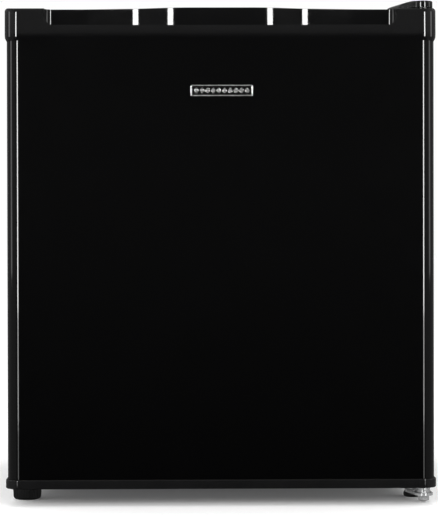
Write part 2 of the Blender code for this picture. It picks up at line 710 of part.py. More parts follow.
def make_pipes():
    profile = [(0.003, 0.050), (0.008, 0.058), (0.008, 0.124), (0.003, 0.132), (0.003, 0.1392)]
    turned("filter_drier", profile, (DRIER_X, CONDENSER_Y), 12, "copper")
    x, y = COMPRESSOR
    suction = [(x - 0.055, y + 0.030, 0.129), (x - 0.095, y + 0.030, 0.129), (x - 0.095, y + 0.030, 0.1665)]
    tube("suction_line", rounded_path(suction, 0.012, 3), 0.0035, "copper")
    coil = []
    turns, steps = 3, 12
    for i in range(turns * steps + 1):
        angle = math.tau * i / steps
        rise = 0.030 + 0.004 * i / steps
        coil.append((0.180 + 0.014 * math.sin(angle), 0.150 + 0.014 * math.cos(angle), rise + 0.02))
    lead_in = [(DRIER_X, CONDENSER_Y, 0.0497), (DRIER_X, CONDENSER_Y, 0.040), (DRIER_X + 0.008, 0.190, 0.042)]
    lead_out = [(0.180, 0.164, 0.075), (0.180, 0.160, 0.1665)]
    tube("capillary_tube", [*lead_in, *coil, *lead_out], 0.001, "copper")
    gland = turned("cord_gland", [(0.010, BASE_Z + 0.0023), (0.010, 0.034), (0.0075, 0.036)], (-0.195, 0.172), 16)
    cut(gland, rod("cord_bore", (-0.195, 0.172, 0.0), (-0.195, 0.172, 0.05), 0.0042, 12))


# Hinges and feet -------------------------------------------------------------------------------
def make_top_hinge():
    plan = arc((HINGE_X, HINGE_Y), 0.0075, 180, 360, 8)
    plan += [(0.2155, -0.180), (0.2155, -0.1335), (0.192, -0.1335), (0.1865, -0.152), (0.1865, -0.180)]
    top = PLATE_BOTTOM + PLATE_T
    bracket = prism("top_hinge_bracket", plan, "Z", PLATE_BOTTOM, top, "zinc")
    for place in (*TOP_SCREWS, (HINGE_X, HINGE_Y)):
        cut(bracket, screw_hole(place, PIN_R + GAP if place[1] == HINGE_Y else 0.0028))
    profile = [(PIN_R - 0.001, 0.4915), (PIN_R, 0.4925), (PIN_R, top + GAP), (0.0058, top + GAP), (0.0052, top + 0.0016)]
    turned("top_hinge_pin", profile, (HINGE_X, HINGE_Y), 20, "zinc")
    for number, place in enumerate(TOP_SCREWS, 1):
        profile = [(0.0024, 0.4975), (0.0024, top + GAP), (0.0045, top + GAP), (0.0042, top + 0.0016)]
        turned(f"top_hinge_screw_{number}", profile, place, 12, "zinc")


def cover_plan(inset, left_inset):
    """The hinge cover from above: a round nose over the pin and a body that widens to the left."""
    nose = arc((HINGE_X - 0.0005, HINGE_Y), 0.0102 - inset, 215, 360, 9)
    right = CABINET_HALF + 0.0005 - inset
    left = 0.1735 + left_inset
    rest = [(right, -0.190), (right, -0.128 - inset), (max(left, 0.184), -0.128 - inset), (left, -0.150), (left, -0.190)]
    return nose + rest


def make_hinge_cover():
    top = 0.517
    levels = ((0.5103, 0.0, 0.0), (0.5128, 0.0, 0.001), (0.5164, 0.0003, 0.0235), (top, 0.0012, 0.026))
    rings = [[(x, y, z) for x, y in cover_plan(inset, left)] for z, inset, left in levels]
    cover = stack("top_hinge_cover", rings, "black_gloss")
    inner = ((0.50, 0.0012, 0.0015), (0.5126, 0.0012, 0.003), (0.5152, 0.0015, 0.020))
    hollow = [[(x, y, z) for x, y in cover_plan(inset, left)] for z, inset, left in inner]
    cut(cover, stack("hollow", hollow))
    return cut(cover, box("cabinet_space", (0.1, DOOR_BACK + 0.001, 0.5), (0.23, 0.0, CABINET_TOP + GAP)))


def make_bottom_hinge():
    nose = arc((HINGE_X, HINGE_Y), 0.0095, 180, 360, 8)
    back = CABINET_FRONT - GAP
    low = TONGUE_TOP - TONGUE_T
    plan = nose + [(0.2175, back), (0.184, back)]
    bracket = prism("bottom_hinge_bracket", plan, "Z", low, TONGUE_TOP, "zinc")
    leg_front = back - TONGUE_T
    join(bracket, box("leg", (0.184, leg_front, low + 0.0005), (0.2175, back, 0.0315)))
    cut(bracket, rod("pin_hole", (HINGE_X, HINGE_Y, 0.0), (HINGE_X, HINGE_Y, 0.03), 0.0034, 14))
    screws = (0.1895, 0.2105)
    for number, x in enumerate(screws, 1):
        cut(bracket, rod("screw_hole", (x, -0.2, 0.0245), (x, -0.17, 0.0245), 0.0028, 10))
        screw = rod(f"bottom_hinge_screw_{number}", (x, back - TONGUE_T - 0.002, 0.0245),
                    (x, back - TONGUE_T - GAP, 0.0245), 0.0042, 12, "zinc")
        join(screw, rod("shank", (x, back - TONGUE_T - 0.001, 0.0245), (x, back - 0.0004, 0.0245), 0.0022, 10))
    pin = [
        (0.0030, 0.0016), (0.0030, TONGUE_TOP + GAP), (0.0066, TONGUE_TOP + GAP), (0.0066, 0.0172),
        (PIN_R, 0.0172), (PIN_R, 0.0345), (PIN_R - 0.001, 0.0355),
    ]
    turned("bottom_hinge_pin", pin, (HINGE_X, HINGE_Y), 20, "zinc")
    nut = turned("bottom_hinge_nut", [(0.0058, 0.0025), (0.0058, low - GAP)], (HINGE_X, HINGE_Y), 6, "zinc")
    cut(nut, rod("thread", (HINGE_X, HINGE_Y, 0.0), (HINGE_X, HINGE_Y, 0.02), 0.0034, 14))


def make_feet():
    stud = [(0.0060, 0.0125), (0.0060, 0.0176), (0.0039, 0.0177), (0.0039, 0.040)]
    left = [(0.0120, 0.0), (0.0145, 0.0025), (0.0150, 0.0110), (0.0143, 0.0125)]
    turned("foot_front_left", left + stud, FOOT_LEFT, 20)
    right = [(0.0090, 0.0), (0.0102, 0.0020), (0.0098, 0.0052), (0.0045, 0.0066), (0.0045, 0.0090)]
    right += [(0.0070, 0.0140), (0.0070, 0.0176), (0.0039, 0.0177), (0.0039, 0.040)]
    turned("foot_front_right", right, FOOT_RIGHT, 20)
    for name, x in (("left", -0.190), ("right", 0.190)):
        profile = [(0.011, 0.0), (0.013, 0.002), (0.014, BASE_Z - GAP)]
        turned(f"foot_rear_{name}", profile, (x, 0.130), 16)


def make_blank_cap():
    """Covers the spare hinge holes on the cabinet's other side."""
    plan = []
    for corner, (sx, sy) in enumerate(((1, 1), (-1, 1), (-1, -1), (1, -1))):
        centre = (-0.197 + sx * 0.011, -0.151 + sy * 0.015)
        plan += arc(centre, 0.004, 90 * corner, 90 * corner + 90, 3)
    return prism("hinge_blank_cap", plan, "Z", CABINET_TOP + GAP, CABINET_TOP + 0.0018, "black_plastic")


def build():
    for old in list(bpy.data.objects):
        bpy.data.objects.remove(old)
    make_door_top_cap()
    make_door_bottom_cap()
    make_door_skin()
    make_door_liner()
    make_door_foam()
    make_door_gasket()
    make_badge()
    make_bush("door_bush_top", 0.4883, CAP_TOP - 0.0003)
    make_bush("door_bush_bottom", DOOR_BOTTOM, 0.038)
    turned("door_hole_plug", [(BUSH_R, 0.496), (BUSH_R, CAP_TOP - 0.001)], (-HINGE_X, HINGE_Y), 16)
    make_rack("lower_rack", 0.066, 0.042, 0.082, 0.1175)
    make_rack("upper_rack", 0.262, 0.030, 0.056, 0.2875)
    make_cabinet_wrap()
    make_front_rail()
    make_bottom_panel()
    make_foam_insulation()
    make_inner_liner()
    make_back_panel()
    make_evaporator()
    make_freezer_frame()
    make_freezer_flap()
    make_evaporator_hangers()
    make_drip_tray()
    make_thermostat()
    make_shelf()
    make_compressor()
    make_condenser()
    make_pipes()
    make_top_hinge()
    make_hinge_cover()
    make_bottom_hinge()
    make_feet()
    make_blank_cap()


build()
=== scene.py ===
import math

import bmesh
import bpy
from mathutils import Matrix, Quaternion, Vector


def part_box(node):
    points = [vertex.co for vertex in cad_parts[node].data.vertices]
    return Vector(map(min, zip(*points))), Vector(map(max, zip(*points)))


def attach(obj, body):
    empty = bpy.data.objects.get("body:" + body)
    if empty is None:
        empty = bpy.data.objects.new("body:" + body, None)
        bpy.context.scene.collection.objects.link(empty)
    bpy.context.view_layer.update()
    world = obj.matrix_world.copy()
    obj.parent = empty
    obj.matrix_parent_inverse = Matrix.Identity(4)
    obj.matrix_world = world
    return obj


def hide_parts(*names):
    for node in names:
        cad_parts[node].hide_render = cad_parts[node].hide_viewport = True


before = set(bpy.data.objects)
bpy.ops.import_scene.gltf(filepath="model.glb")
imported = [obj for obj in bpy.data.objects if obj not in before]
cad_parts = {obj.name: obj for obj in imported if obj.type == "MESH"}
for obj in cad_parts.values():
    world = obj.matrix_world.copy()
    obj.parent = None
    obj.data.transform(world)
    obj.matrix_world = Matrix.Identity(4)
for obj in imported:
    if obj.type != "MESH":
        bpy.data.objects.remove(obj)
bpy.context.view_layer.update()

# Sizes shared with the CAD, in metres -----------------------------------------------------------
CAP_LOW, CAP_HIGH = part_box("door_top_cap")
SKIN_LOW, SKIN_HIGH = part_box("door_skin")
TRIM_LOW, TRIM_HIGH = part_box("door_bottom_cap")
WRAP_LOW, WRAP_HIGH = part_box("cabinet_wrap")
LINER_LOW, LINER_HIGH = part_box("inner_liner")
PIN_LOW, PIN_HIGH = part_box("bottom_hinge_pin")
FRONT = CAP_LOW.y
GAP = 0.0003  # between pieces that rest on each other

# The hinge line, and the bores round it
HINGE_X = (PIN_LOW.x + PIN_HIGH.x) / 2
HINGE_Y = (PIN_LOW.y + PIN_HIGH.y) / 2
HINGE = (HINGE_X, HINGE_Y)
BOSS_R = 0.009
BUSH_R = 0.0063
TOP_SCREWS = ((0.1975, -0.163), (0.2075, -0.143))

# The food compartment, with the step over the compressor
CAVITY_HALF = 0.184
CAVITY_FLOOR = 0.054
CAVITY_TOP = 0.480
CAVITY_BACK = 0.157
HUMP_Y = 0.020
HUMP_TOP = 0.178
SHELF_Z = 0.2383
TRAY_Z = 0.3723
FLAP_AXIS = (-0.0865, 0.469)

# The grip pocket in the door's cap, and the lip in front of it
POCKET_FLOOR = 0.477
POCKET_HALF = 0.1725
POCKET_END = 0.0085
LIP_TOP = 0.4906
LIP_HALF = 0.1700
LIP_WALL = 0.0035
WALL_NEAR = 0.013
WALL_SLOPES = ((0.0333, 0.0), (0.058, 0.28), (0.0796, 0.28), (0.0916, 0.125), (0.135, 0.10), (0.150, 0.0))

# The door's outer form: how far the cap leans back, its sloping corner blocks, and the round edges
CAP_LEAN = 0.0012
BLOCK_START = 0.176
BLOCK_SLOPE = 0.022
BLOCK_FALL = 0.0030
CORNER_R = 0.0145
SKIN_R = 0.0135

# The door's inner panel: its back, the two dykes, the pad, and the undersides of the racks' hooks
DOOR_BACK = -0.191
DYKE_INNER = 0.146
DYKE_OUTER = 0.174
DYKE_TOP = 0.352
PAD_HALF = 0.181
UPPER_HOOK = 0.2875
LOWER_HOOK = 0.1175

# The compressor's axis, the condenser's serpentine pipe and the drier at its end
COMPRESSOR = (-0.055, 0.124)
CONDENSER_Y = 0.227
CONDENSER_R = 0.0025
CONDENSER_HALF = 0.165
CONDENSER_LOW = 0.190
CONDENSER_PASSES = 10
CONDENSER_PITCH = 0.031
RISER_X = 0.192
DRIER_X = 0.150


# Materials --------------------------------------------------------------------------------------
def add_node(tree, kind, inputs):
    """A shader node whose inputs are set, or linked where the value is another node's output."""
    node = tree.nodes.new(kind)
    for key, value in inputs.items():
        if isinstance(value, bpy.types.NodeSocket):
            tree.links.new(value, node.inputs[key])
        else:
            node.inputs[key].default_value = value
    return node


class Maker:
    """Builds one procedural material around a Principled shader.

    What drives its colour, roughness or relief is a node's output, or the settings of a noise.
    """

    def __init__(self, name, colour, roughness, metallic=0.0, stretch=(1, 1, 1), **values):
        self.made = bpy.data.materials.new(name)
        self.made.use_nodes = True
        self.made.diffuse_color = (*colour, 1)
        self.tree = self.made.node_tree
        self.shader = self.tree.nodes["Principled BSDF"]
        self.colour = colour
        self.set(base_color=(*colour, 1), roughness=roughness, metallic=metallic, **values)
        coords = self.tree.nodes.new("ShaderNodeTexCoord")
        inputs = {"Vector": coords.outputs["Object"], "Scale": stretch}
        self.at = add_node(self.tree, "ShaderNodeMapping", inputs).outputs["Vector"]

    def set(self, **values):
        for name, value in values.items():
            key = name.replace("_", " ").title().replace("Ior", "IOR")
            self.shader.inputs[key].default_value = value

    def drive(self, key, value):
        self.tree.links.new(value, self.shader.inputs[key])
        return self

    def noise(self, scale, detail, rough=0.55):
        inputs = {"Vector": self.at, "Scale": scale, "Detail": detail, "Roughness": rough}
        return add_node(self.tree, "ShaderNodeTexNoise", inputs).outputs["Fac"]

    def cells(self, scale, output="Distance"):
        inputs = {"Vector": self.at, "Scale": scale}
        return add_node(self.tree, "ShaderNodeTexVoronoi", inputs).outputs[output]

    def along_x(self):
        return add_node(self.tree, "ShaderNodeSeparateXYZ", {"Vector": self.at}).outputs["X"]

    def source(self, value):
        return self.noise(*value) if isinstance(value, tuple) else value

    def span(self, value, low, high, start=0.3, end=0.7):
        inputs = {"Value": self.source(value), "From Min": start, "From Max": end}
        inputs.update({"To Min": low, "To Max": high})
        return add_node(self.tree, "ShaderNodeMapRange", inputs).outputs["Result"]

    def tint(self, value, dark, light, start=0.3, end=0.7):
        share = self.span(value, 0.0, 1.0, start, end)
        node = add_node(self.tree, "ShaderNodeMix", {0: share, 6: (*dark, 1), 7: (*light, 1)})
        node.data_type = "RGBA"
        return self.drive("Base Color", node.outputs[2])

    def vary(self, value, share, start=0.3, end=0.7):
        """Colour from a little darker to a little lighter than the base."""
        dark = [c * (1 - share) for c in self.colour]
        light = [min(1.0, c * (1 + share)) for c in self.colour]
        return self.tint(value, dark, light, start, end)

    def rough(self, value, low, high):
        return self.drive("Roughness", self.span(value, low, high))

    def bump(self, value, distance):
        inputs = {"Height": self.source(value), "Strength": 1.0, "Distance": distance}
        return self.drive("Normal", add_node(self.tree, "ShaderNodeBump", inputs).outputs["Normal"])


def make_materials():
    # painted_sheen_grey is a painted reflection: a paler black that the hinge cover's wing gets in place of
    # the light it reflects.
    black, painted_sheen_grey = (0.0016, 0.0016, 0.0017), (0.0125, 0.0125, 0.0126)
    cover = Maker("hinge_cover_abs", black, 0.05, specular_ior_level=0.55)
    moulding = Maker("black_moulding", (0.014, 0.014, 0.0145), 0.45)
    foam = Maker("polyurethane_foam", (0.74, 0.62, 0.34), 0.9)
    galvanised = Maker("galvanised_sheet", (0.56, 0.57, 0.59), 0.36, 1.0)
    makers = {
        "abs": Maker("black_abs", black, 0.05, specular_ior_level=0.55)
        .vary((35, 5), 0.12).rough((60, 6, 0.65), 0.03, 0.07).bump((900, 2), 0.000004),
        # The hinge cover is painted paler left of x = 0.195, a painted reflection on its wing, and is black
        # from x = 0.203 over the boss.
        "cover": cover.tint(cover.along_x(), painted_sheen_grey, black, 0.1950, 0.2030).rough((60, 6, 0.65), 0.04, 0.09),
        "trim": Maker("black_trim", (0.0040, 0.0040, 0.0041), 0.05)
        .vary((35, 5), 0.12).rough((60, 6, 0.65), 0.04, 0.08).bump((900, 2), 0.000004),
        "steel": Maker("black_steel", (0.0004, 0.0004, 0.00044), 0.05)
        .vary((18, 4), 0.15).rough((40, 6, 0.6), 0.045, 0.085).bump((260, 2, 0.4), 0.000006),
        "side": Maker("black_side_paint", (0.010, 0.010, 0.0105), 0.33)
        .vary((25, 5), 0.10).rough((70, 5), 0.28, 0.38).bump((1500, 3, 0.6), 0.00004),
        "enamel": Maker("black_enamel", (0.012, 0.012, 0.012), 0.28)
        .vary((60, 5), 0.25).rough((120, 6, 0.7), 0.22, 0.42).bump((700, 3), 0.00003),
        "moulding": moulding.vary((80, 5), 0.2).rough((150, 5), 0.38, 0.55)
        .bump(moulding.cells(2600), 0.00003),
        "white": Maker("white_liner", (0.56, 0.57, 0.565), 0.32)
        .vary((9, 4), 0.02).rough((30, 6, 0.6), 0.28, 0.38).bump((260, 2, 0.4), 0.000006),
        "white_part": Maker("white_moulding", (0.52, 0.53, 0.525), 0.36)
        .vary((25, 4), 0.03).rough((90, 5), 0.30, 0.42).bump((1400, 3), 0.00001),
        "clear": Maker("clear_moulding", (0.80, 0.90, 0.94), 0.10, transmission_weight=0.86, ior=1.5)
        .vary((14, 4), 0.03).rough((50, 5), 0.06, 0.14).bump((300, 2), 0.00001),
        "frosted": Maker("frosted_moulding", (0.64, 0.72, 0.76), 0.32, transmission_weight=0.4, ior=1.5)
        .vary((14, 4), 0.03).rough((60, 5), 0.26, 0.38).bump((500, 2), 0.00001),
        "glass": Maker("shelf_glass", (0.82, 0.94, 0.90), 0.02, transmission_weight=1.0, ior=1.52)
        .vary((6, 3), 0.01).rough((40, 6, 0.7), 0.01, 0.04),
        "foam": foam.vary((60, 6), 0.12).bump(foam.cells(700), 0.0004),
        "galvanised": galvanised.vary(galvanised.cells(160, "Color"), 0.16, 0.0, 1.0)
        .rough((220, 5), 0.28, 0.48).bump((500, 3), 0.00001),
        "zinc": Maker("zinc_plate", (0.80, 0.805, 0.81), 0.20, 0.82)
        .vary((180, 5), 0.10).rough((300, 6, 0.7), 0.10, 0.30).bump((900, 4), 0.00002),
        "aluminium": Maker("rolled_aluminium", (0.78, 0.79, 0.81), 0.34, 1.0, (4, 0.25, 4))
        .vary((120, 6), 0.07).rough((160, 6), 0.26, 0.44).bump((260, 4), 0.00003),
        "copper": Maker("drawn_copper", (0.72, 0.34, 0.20), 0.26, 1.0)
        .tint((70, 6, 0.7), (0.50, 0.21, 0.12), (0.80, 0.42, 0.27)).rough((200, 5), 0.18, 0.42),
        "rubber": Maker("magnetic_gasket", (0.010, 0.010, 0.011), 0.55)
        .vary((60, 5), 0.2).rough((140, 5), 0.48, 0.66).bump((1800, 3), 0.00003),
        "foot": Maker("black_rubber", (0.0030, 0.0030, 0.0031), 0.32, specular_ior_level=0.3)
        .vary((80, 5), 0.3).rough((150, 5), 0.24, 0.42).bump((1500, 3), 0.00002),
        "badge": Maker("brushed_badge", (0.86, 0.86, 0.85), 0.20, 1.0, (0.15, 4, 4))
        .vary((600, 5), 0.10).rough((900, 5), 0.14, 0.30),
        "field": Maker("badge_field", (0.0004, 0.0004, 0.0004), 0.14)
        .vary((200, 4), 0.1).rough((300, 5), 0.10, 0.18),
        "print": Maker("dial_print", (0.10, 0.11, 0.12), 0.45)
        .vary((500, 4), 0.15).rough((800, 4), 0.40, 0.52),
    }
    return {name: maker.made for name, maker in makers.items()}


MATERIALS = make_materials()


# Mesh tools -------------------------------------------------------------------------------------
def linked(name, mesh, materials):
    for material in materials:
        mesh.materials.append(material)
    made = bpy.data.objects.new(name, mesh)
    bpy.context.scene.collection.objects.link(made)
    return made


def solid(name, bm, finish="abs"):
    bmesh.ops.recalc_face_normals(bm, faces=bm.faces)
    mesh = bpy.data.meshes.new(name)
    bm.to_mesh(mesh)
    bm.free()
    return linked(name, mesh, [MATERIALS[finish]])


def box(name, low, high, finish="abs"):
    bm = bmesh.new()
    bmesh.ops.create_cube(bm, size=1.0)
    size = Vector(high) - Vector(low)
    middle = (Vector(high) + Vector(low)) / 2
    place = Matrix.Translation(middle) @ Matrix.Diagonal((*size, 1.0))
    bmesh.ops.transform(bm, matrix=place, verts=bm.verts)
    return solid(name, bm, finish)


def bridge(bm, loops):
    """Quads between each loop of points and the next."""
    for lower, upper in zip(loops, loops[1:]):
        for i in range(len(lower)):
            j = (i + 1) % len(lower)
            bm.faces.new((lower[i], lower[j], upper[j], upper[i]))


def stack(name, rings, finish="abs"):
    """Skins rings of equal point count into a closed solid."""
    bm = bmesh.new()
    loops = [[bm.verts.new(point) for point in ring] for ring in rings]
    bridge(bm, loops)
    bm.faces.new(loops[0][::-1])
    bm.faces.new(loops[-1])
    return solid(name, bm, finish)


def prism(name, outline, axis, low, high, finish="abs"):
    """Extrudes an outline of the other two coordinates along an axis."""

    def place(point, level):
        a, b = point
        return {"X": (level, a, b), "Y": (a, level, b), "Z": (a, b, level)}[axis]

    return stack(name, [[place(p, level) for p in outline] for level in (low, high)], finish)


def turned(name, profile, centre, sides=48, finish="abs", widen=1.0, ribs=0, rib_depth=0.0, ribbed=()):
    """Spins (radius, height) pairs round a vertical axis; rows in ribbed get vertical ribs."""
    rings = []
    for row, (radius, height) in enumerate(profile):
        ring = []
        for i in range(sides):
            angle = math.tau * i / sides
            r = radius
            if row in ribbed:
                r -= rib_depth * (0.5 - 0.5 * math.cos(ribs * angle)) ** 2
            ring.append((centre[0] + r * widen * math.cos(angle), centre[1] + r * math.sin(angle), height))
        rings.append(ring)
    return stack(name, rings, finish)


def rod(name, start, end, radius, sides=32, finish="abs"):
    start, end = Vector(start), Vector(end)
    bm = bmesh.new()
    turn = (end - start).to_track_quat("Z", "Y").to_matrix().to_4x4()
    place = Matrix.Translation((start + end) / 2) @ turn
    depth = (end - start).length
    bmesh.ops.create_cone(
        bm, cap_ends=True, segments=sides, radius1=radius, radius2=radius, depth=depth, matrix=place
    )
    return solid(name, bm, finish)


def tube(name, points, radius, finish, sides=12):
    """A swept pipe through the points, as one closed mesh."""
    points = [Vector(p) for p in points]
    rings = []
    side = None
    for i, point in enumerate(points):
        before = points[max(0, i - 1)]
        after = points[min(len(points) - 1, i + 1)]
        ahead = (after - before).normalized()
        if side is None:
            side = ahead.orthogonal().normalized()
        side = (side - ahead * side.dot(ahead)).normalized()
        up = ahead.cross(side)
        angles = [math.tau * j / sides for j in range(sides)]
        rings.append([point + (side * math.cos(angle) + up * math.sin(angle)) * radius for angle in angles])
    return stack(name, rings, finish)


def rounded_path(corners, radius, steps=6):
    """Points along a polyline whose inner corners are arcs."""
    corners = [Vector(c) for c in corners]
    path = [corners[0]]
    for before, corner, after in zip(corners, corners[1:], corners[2:]):
        back = (before - corner).normalized()
        ahead = (after - corner).normalized()
        half = back.angle(ahead) / 2
        reach = radius / math.tan(half)
        middle = corner + (back + ahead).normalized() * (radius / math.sin(half))
        start = corner + back * reach - middle
        end = corner + ahead * reach - middle
        swept = start.angle(end)
        for i in range(steps + 1):
            share = swept * i / steps
            blend = start * math.sin(swept - share) + end * math.sin(share)
            path.append(middle + blend / math.sin(swept))
    path.append(corners[-1])
    return path


def applied(target):
    """Bakes the modifiers into the mesh."""
    bpy.context.view_layer.update()
    graph = bpy.context.evaluated_depsgraph_get()
    mesh = bpy.data.meshes.new_from_object(target.evaluated_get(graph))
    target.modifiers.clear()
    target.data = mesh
    return target


def combine(target, tool, operation):
    modifier = target.modifiers.new("Combine", "BOOLEAN")
    modifier.operation = operation
    modifier.object = tool
    applied(target)
    bpy.data.objects.remove(tool)
    return target


def cut(target, *tools):
    for tool in tools:
        combine(target, tool, "DIFFERENCE")
    return target


def join(target, *tools):
    for tool in tools:
        combine(target, tool, "UNION")
    return target


def merged(name, parts):
    """Several separate solids as one object, each part keeping its own material."""
    bm = bmesh.new()
    slots = []
    for part in parts:
        applied(part)
        used = part.data.materials[0]
        if used not in slots:
            slots.append(used)
        index = slots.index(used)
        first = len(bm.faces)
        bm.from_mesh(part.data)
        bm.faces.ensure_lookup_table()
        for face in bm.faces[first:]:
            face.material_index = index
        bpy.data.objects.remove(part)
    mesh = bpy.data.meshes.new(name)
    bm.to_mesh(mesh)
    bm.free()
    return linked(name, mesh, slots)


def bevelled(target, width, segments=3, angle=28.0):
    modifier = target.modifiers.new("Round edges", "BEVEL")
    modifier.width = width
    modifier.segments = segments
    modifier.limit_method = "ANGLE"
    modifier.angle_limit = math.radians(angle)
    modifier.use_clamp_overlap = True
    modifier.miter_outer = "MITER_ARC"
    return target


def rounded_box(name, low, high, radius, finish="white", segments=4):
    return applied(bevelled(box(name, low, high, finish), radius, segments))


def mirrored(name, across, depth, rise, radius, finish="white", segments=4):
    """The same rounded box on both sides, from its spans outwards, in depth and in height."""
    boxes = []
    for side in (-1, 1):
        near, far = sorted((side * across[0], side * across[1]))
        low, high = (near, depth[0], rise[0]), (far, depth[1], rise[1])
        boxes.append(rounded_box(name, low, high, radius, finish, segments))
    return boxes


def hinge_posts(radius, low, high):
    """Two upright cylinders, on the hinge line and on its mirror image for a door hung the other way."""
    profile = [(radius, low), (radius, high)]
    return [turned("post", profile, (side * HINGE_X, HINGE_Y), 40) for side in (-1, 1)]


def smooth(target, angle=32.0):
    """Smooth shading with edges over the angle kept sharp."""
    for face in target.data.polygons:
        face.use_smooth = True
    target.data.set_sharp_from_angle(angle=math.radians(angle))
    return target


def show(piece, body, slot, *nodes):
    """Hands over a finished piece: the CAD body it rides on and the nodes it replaces. The slot, its finish,
    is not used.
    """
    if piece.modifiers:
        applied(piece)
    smooth(piece)
    weighted = piece.modifiers.new("Flat faces stay flat", "WEIGHTED_NORMAL")
    weighted.keep_sharp = True
    weighted.weight = 70
    applied(piece)
    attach(piece, body)
    if nodes:
        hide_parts(*nodes)
    return piece


def arc(centre, radius, start, end, steps):
    points = []
    for i in range(steps + 1):
        angle = math.radians(start + (end - start) * i / steps)
        points.append((centre[0] + radius * math.cos(angle), centre[1] + radius * math.sin(angle)))
    return points


def inset_rect(low, high, inset, radius, steps):
    """The outline of a box seen from the front, with round corners, shrunk by inset."""
    return rounded_rect((low.x + inset, low.z + inset), (high.x - inset, high.z - inset), radius, steps)


def rounded_rect(low, high, radius, steps=6):
    """An outline of two coordinates, with round corners, anticlockwise."""
    outline = []
    for corner, (sx, sy) in enumerate(((1, 1), (0, 1), (0, 0), (1, 0))):
        x = high[0] - radius if sx else low[0] + radius
        y = high[1] - radius if sy else low[1] + radius
        outline += arc((x, y), radius, 90 * corner, 90 * corner + 90, steps)
    return outline


def paint(finish, *nodes, bevel=0.0):
    """A carried-over CAD node gets its finish, and small round edges where asked."""
    for name in nodes:
        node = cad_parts[name]
        for held in node.material_slots:
            held.material = MATERIALS[finish]
        if bevel:
            bevelled(node, bevel, 2, 35)


# The door's outside -----------------------------------------------------------------------------
def door_plan(half, front, radius, back, steps=16):
    left = arc((-half + radius, front + radius), radius, 180, 270, steps)
    right = arc((half - radius, front + radius), radius, 270, 360, steps)
    return [(-half, back)] + left + right + [(half, back)]


def grip_wall(x):
    """How far the grip pocket's wavy back wall is behind the door's front at x: its slope, summed."""
    depth = WALL_NEAR
    for (start, before), (end, after) in zip(WALL_SLOPES, WALL_SLOPES[1:]):
        run = min(max(abs(x) - start, 0.0), end - start)
        slope = before + (after - before) * run / (end - start)
        depth += run * (before + slope) / 2
    return depth


def pocket_plan(grow, front, steps=110):
    """The grip pocket from above: its wavy back wall and quarter-round ends, open towards the front."""
    reach = POCKET_HALF
    wall = []
    for i in range(steps + 1):
        x = -reach + 2 * reach * i / steps
        wall.append((x, FRONT + grip_wall(x) + grow))
    deep = FRONT + grip_wall(reach) + grow
    radius = POCKET_END + grow
    end = []
    curve, sweep = 16, math.radians(88)
    for i in range(1, curve + 1):
        angle = sweep * i / curve
        end.append((reach + radius * math.sin(angle), deep - radius * (1 - math.cos(angle))))
    last = end[-1][0]
    left = [(-x, y) for x, y in end[::-1]]
    return [(-last, front)] + left + wall + end + [(last, front)]


def rounded_top(top, radius, steps=6):
    """(height, inset) pairs that round an upper edge."""
    pairs = []
    for i in range(steps + 1):
        angle = math.pi / 2 * i / steps
        pairs.append((top - radius * (1 - math.sin(angle)), radius * (1 - math.cos(angle))))
    return pairs


def cap_fall(x, y):
    """How far the cap's top has fallen at x, y: flat, except that its corner blocks slope to the front."""
    if abs(x) < BLOCK_START:
        return 0.0
    share = min(1.0, max(0.0, (FRONT + BLOCK_SLOPE - y) / BLOCK_SLOPE))
    return BLOCK_FALL * share**1.5


def cap_shell():
    """The cap's outside: a tapered foot, a front that leans back, and round upper edges."""
    top, half = CAP_HIGH.z, CAP_HIGH.x
    shoulder = 0.4820
    rows = [(CAP_LOW.z - 0.0003, 0.0017), (0.4763, 0.0012), (0.4770, 0.0008), (0.4778, 0.00045)]
    rows += [(0.4788, 0.0002), (0.4800, 0.0001), (shoulder, 0.0), (0.4960, 0.0)] + rounded_top(top, 0.0034)
    step, sink_from = 0.0015, 0.4970
    columns = (-BLOCK_START, step - BLOCK_START, BLOCK_START - step, BLOCK_START)
    bm = bmesh.new()
    loops = []
    for height, inset in rows:
        lean = CAP_LEAN * max(0.0, (height - shoulder) / (top - shoulder))
        front, reach = FRONT + inset + lean, half - inset
        side = [(reach, CAP_HIGH.y), (reach, FRONT + BLOCK_SLOPE), (reach, FRONT + 0.018)]
        side += arc((half - CORNER_R, front + CORNER_R - inset), CORNER_R - inset, 0, -90, 16)
        plan = [(-x, y) for x, y in side] + [(x, front) for x in columns] + side[::-1]
        sinking = height > sink_from
        loops.append([bm.verts.new((x, y, height - sinking * cap_fall(x, y))) for x, y in plan])
    bridge(bm, loops)
    bm.faces.new(loops[0][::-1])
    rim = loops[-1]
    count = len(rim)
    depth = (count - len(columns)) // 2
    across = []
    for i in range(1, depth):
        left, right = rim[i], rim[count - 1 - i]
        if i == depth - 1:
            inner = rim[depth : depth + len(columns)]
        else:
            inner = [bm.verts.new((x, left.co.y, top - cap_fall(x, left.co.y))) for x in columns]
        across.append([left, *inner, right])
    bm.faces.new([rim[0], *across[0], rim[-1]])
    for behind, ahead in zip(across, across[1:]):
        for i in range(len(columns) + 1):
            bm.faces.new((behind[i], ahead[i], ahead[i + 1], behind[i + 1]))
    return solid("cap_shell", bm, "abs")


def edge_cutter(corner, radius, outward):
    """A cutter that rounds the lip's edge at corner, whose material lies below it and away from outward."""
    y, z = corner
    reach = 0.004
    outline = [(y + outward * reach, z + reach), (y + outward * reach, z - radius), (y, z - radius)]
    steps = 5
    for i in range(1, steps + 1):
        angle = math.pi / 2 * i / steps
        outline.append((y - outward * radius * (1 - math.cos(angle)), z - radius * (1 - math.sin(angle))))
    outline.append((y - outward * radius, z + reach))
    return prism("edge_cutter", outline, "X", -LIP_HALF, LIP_HALF)


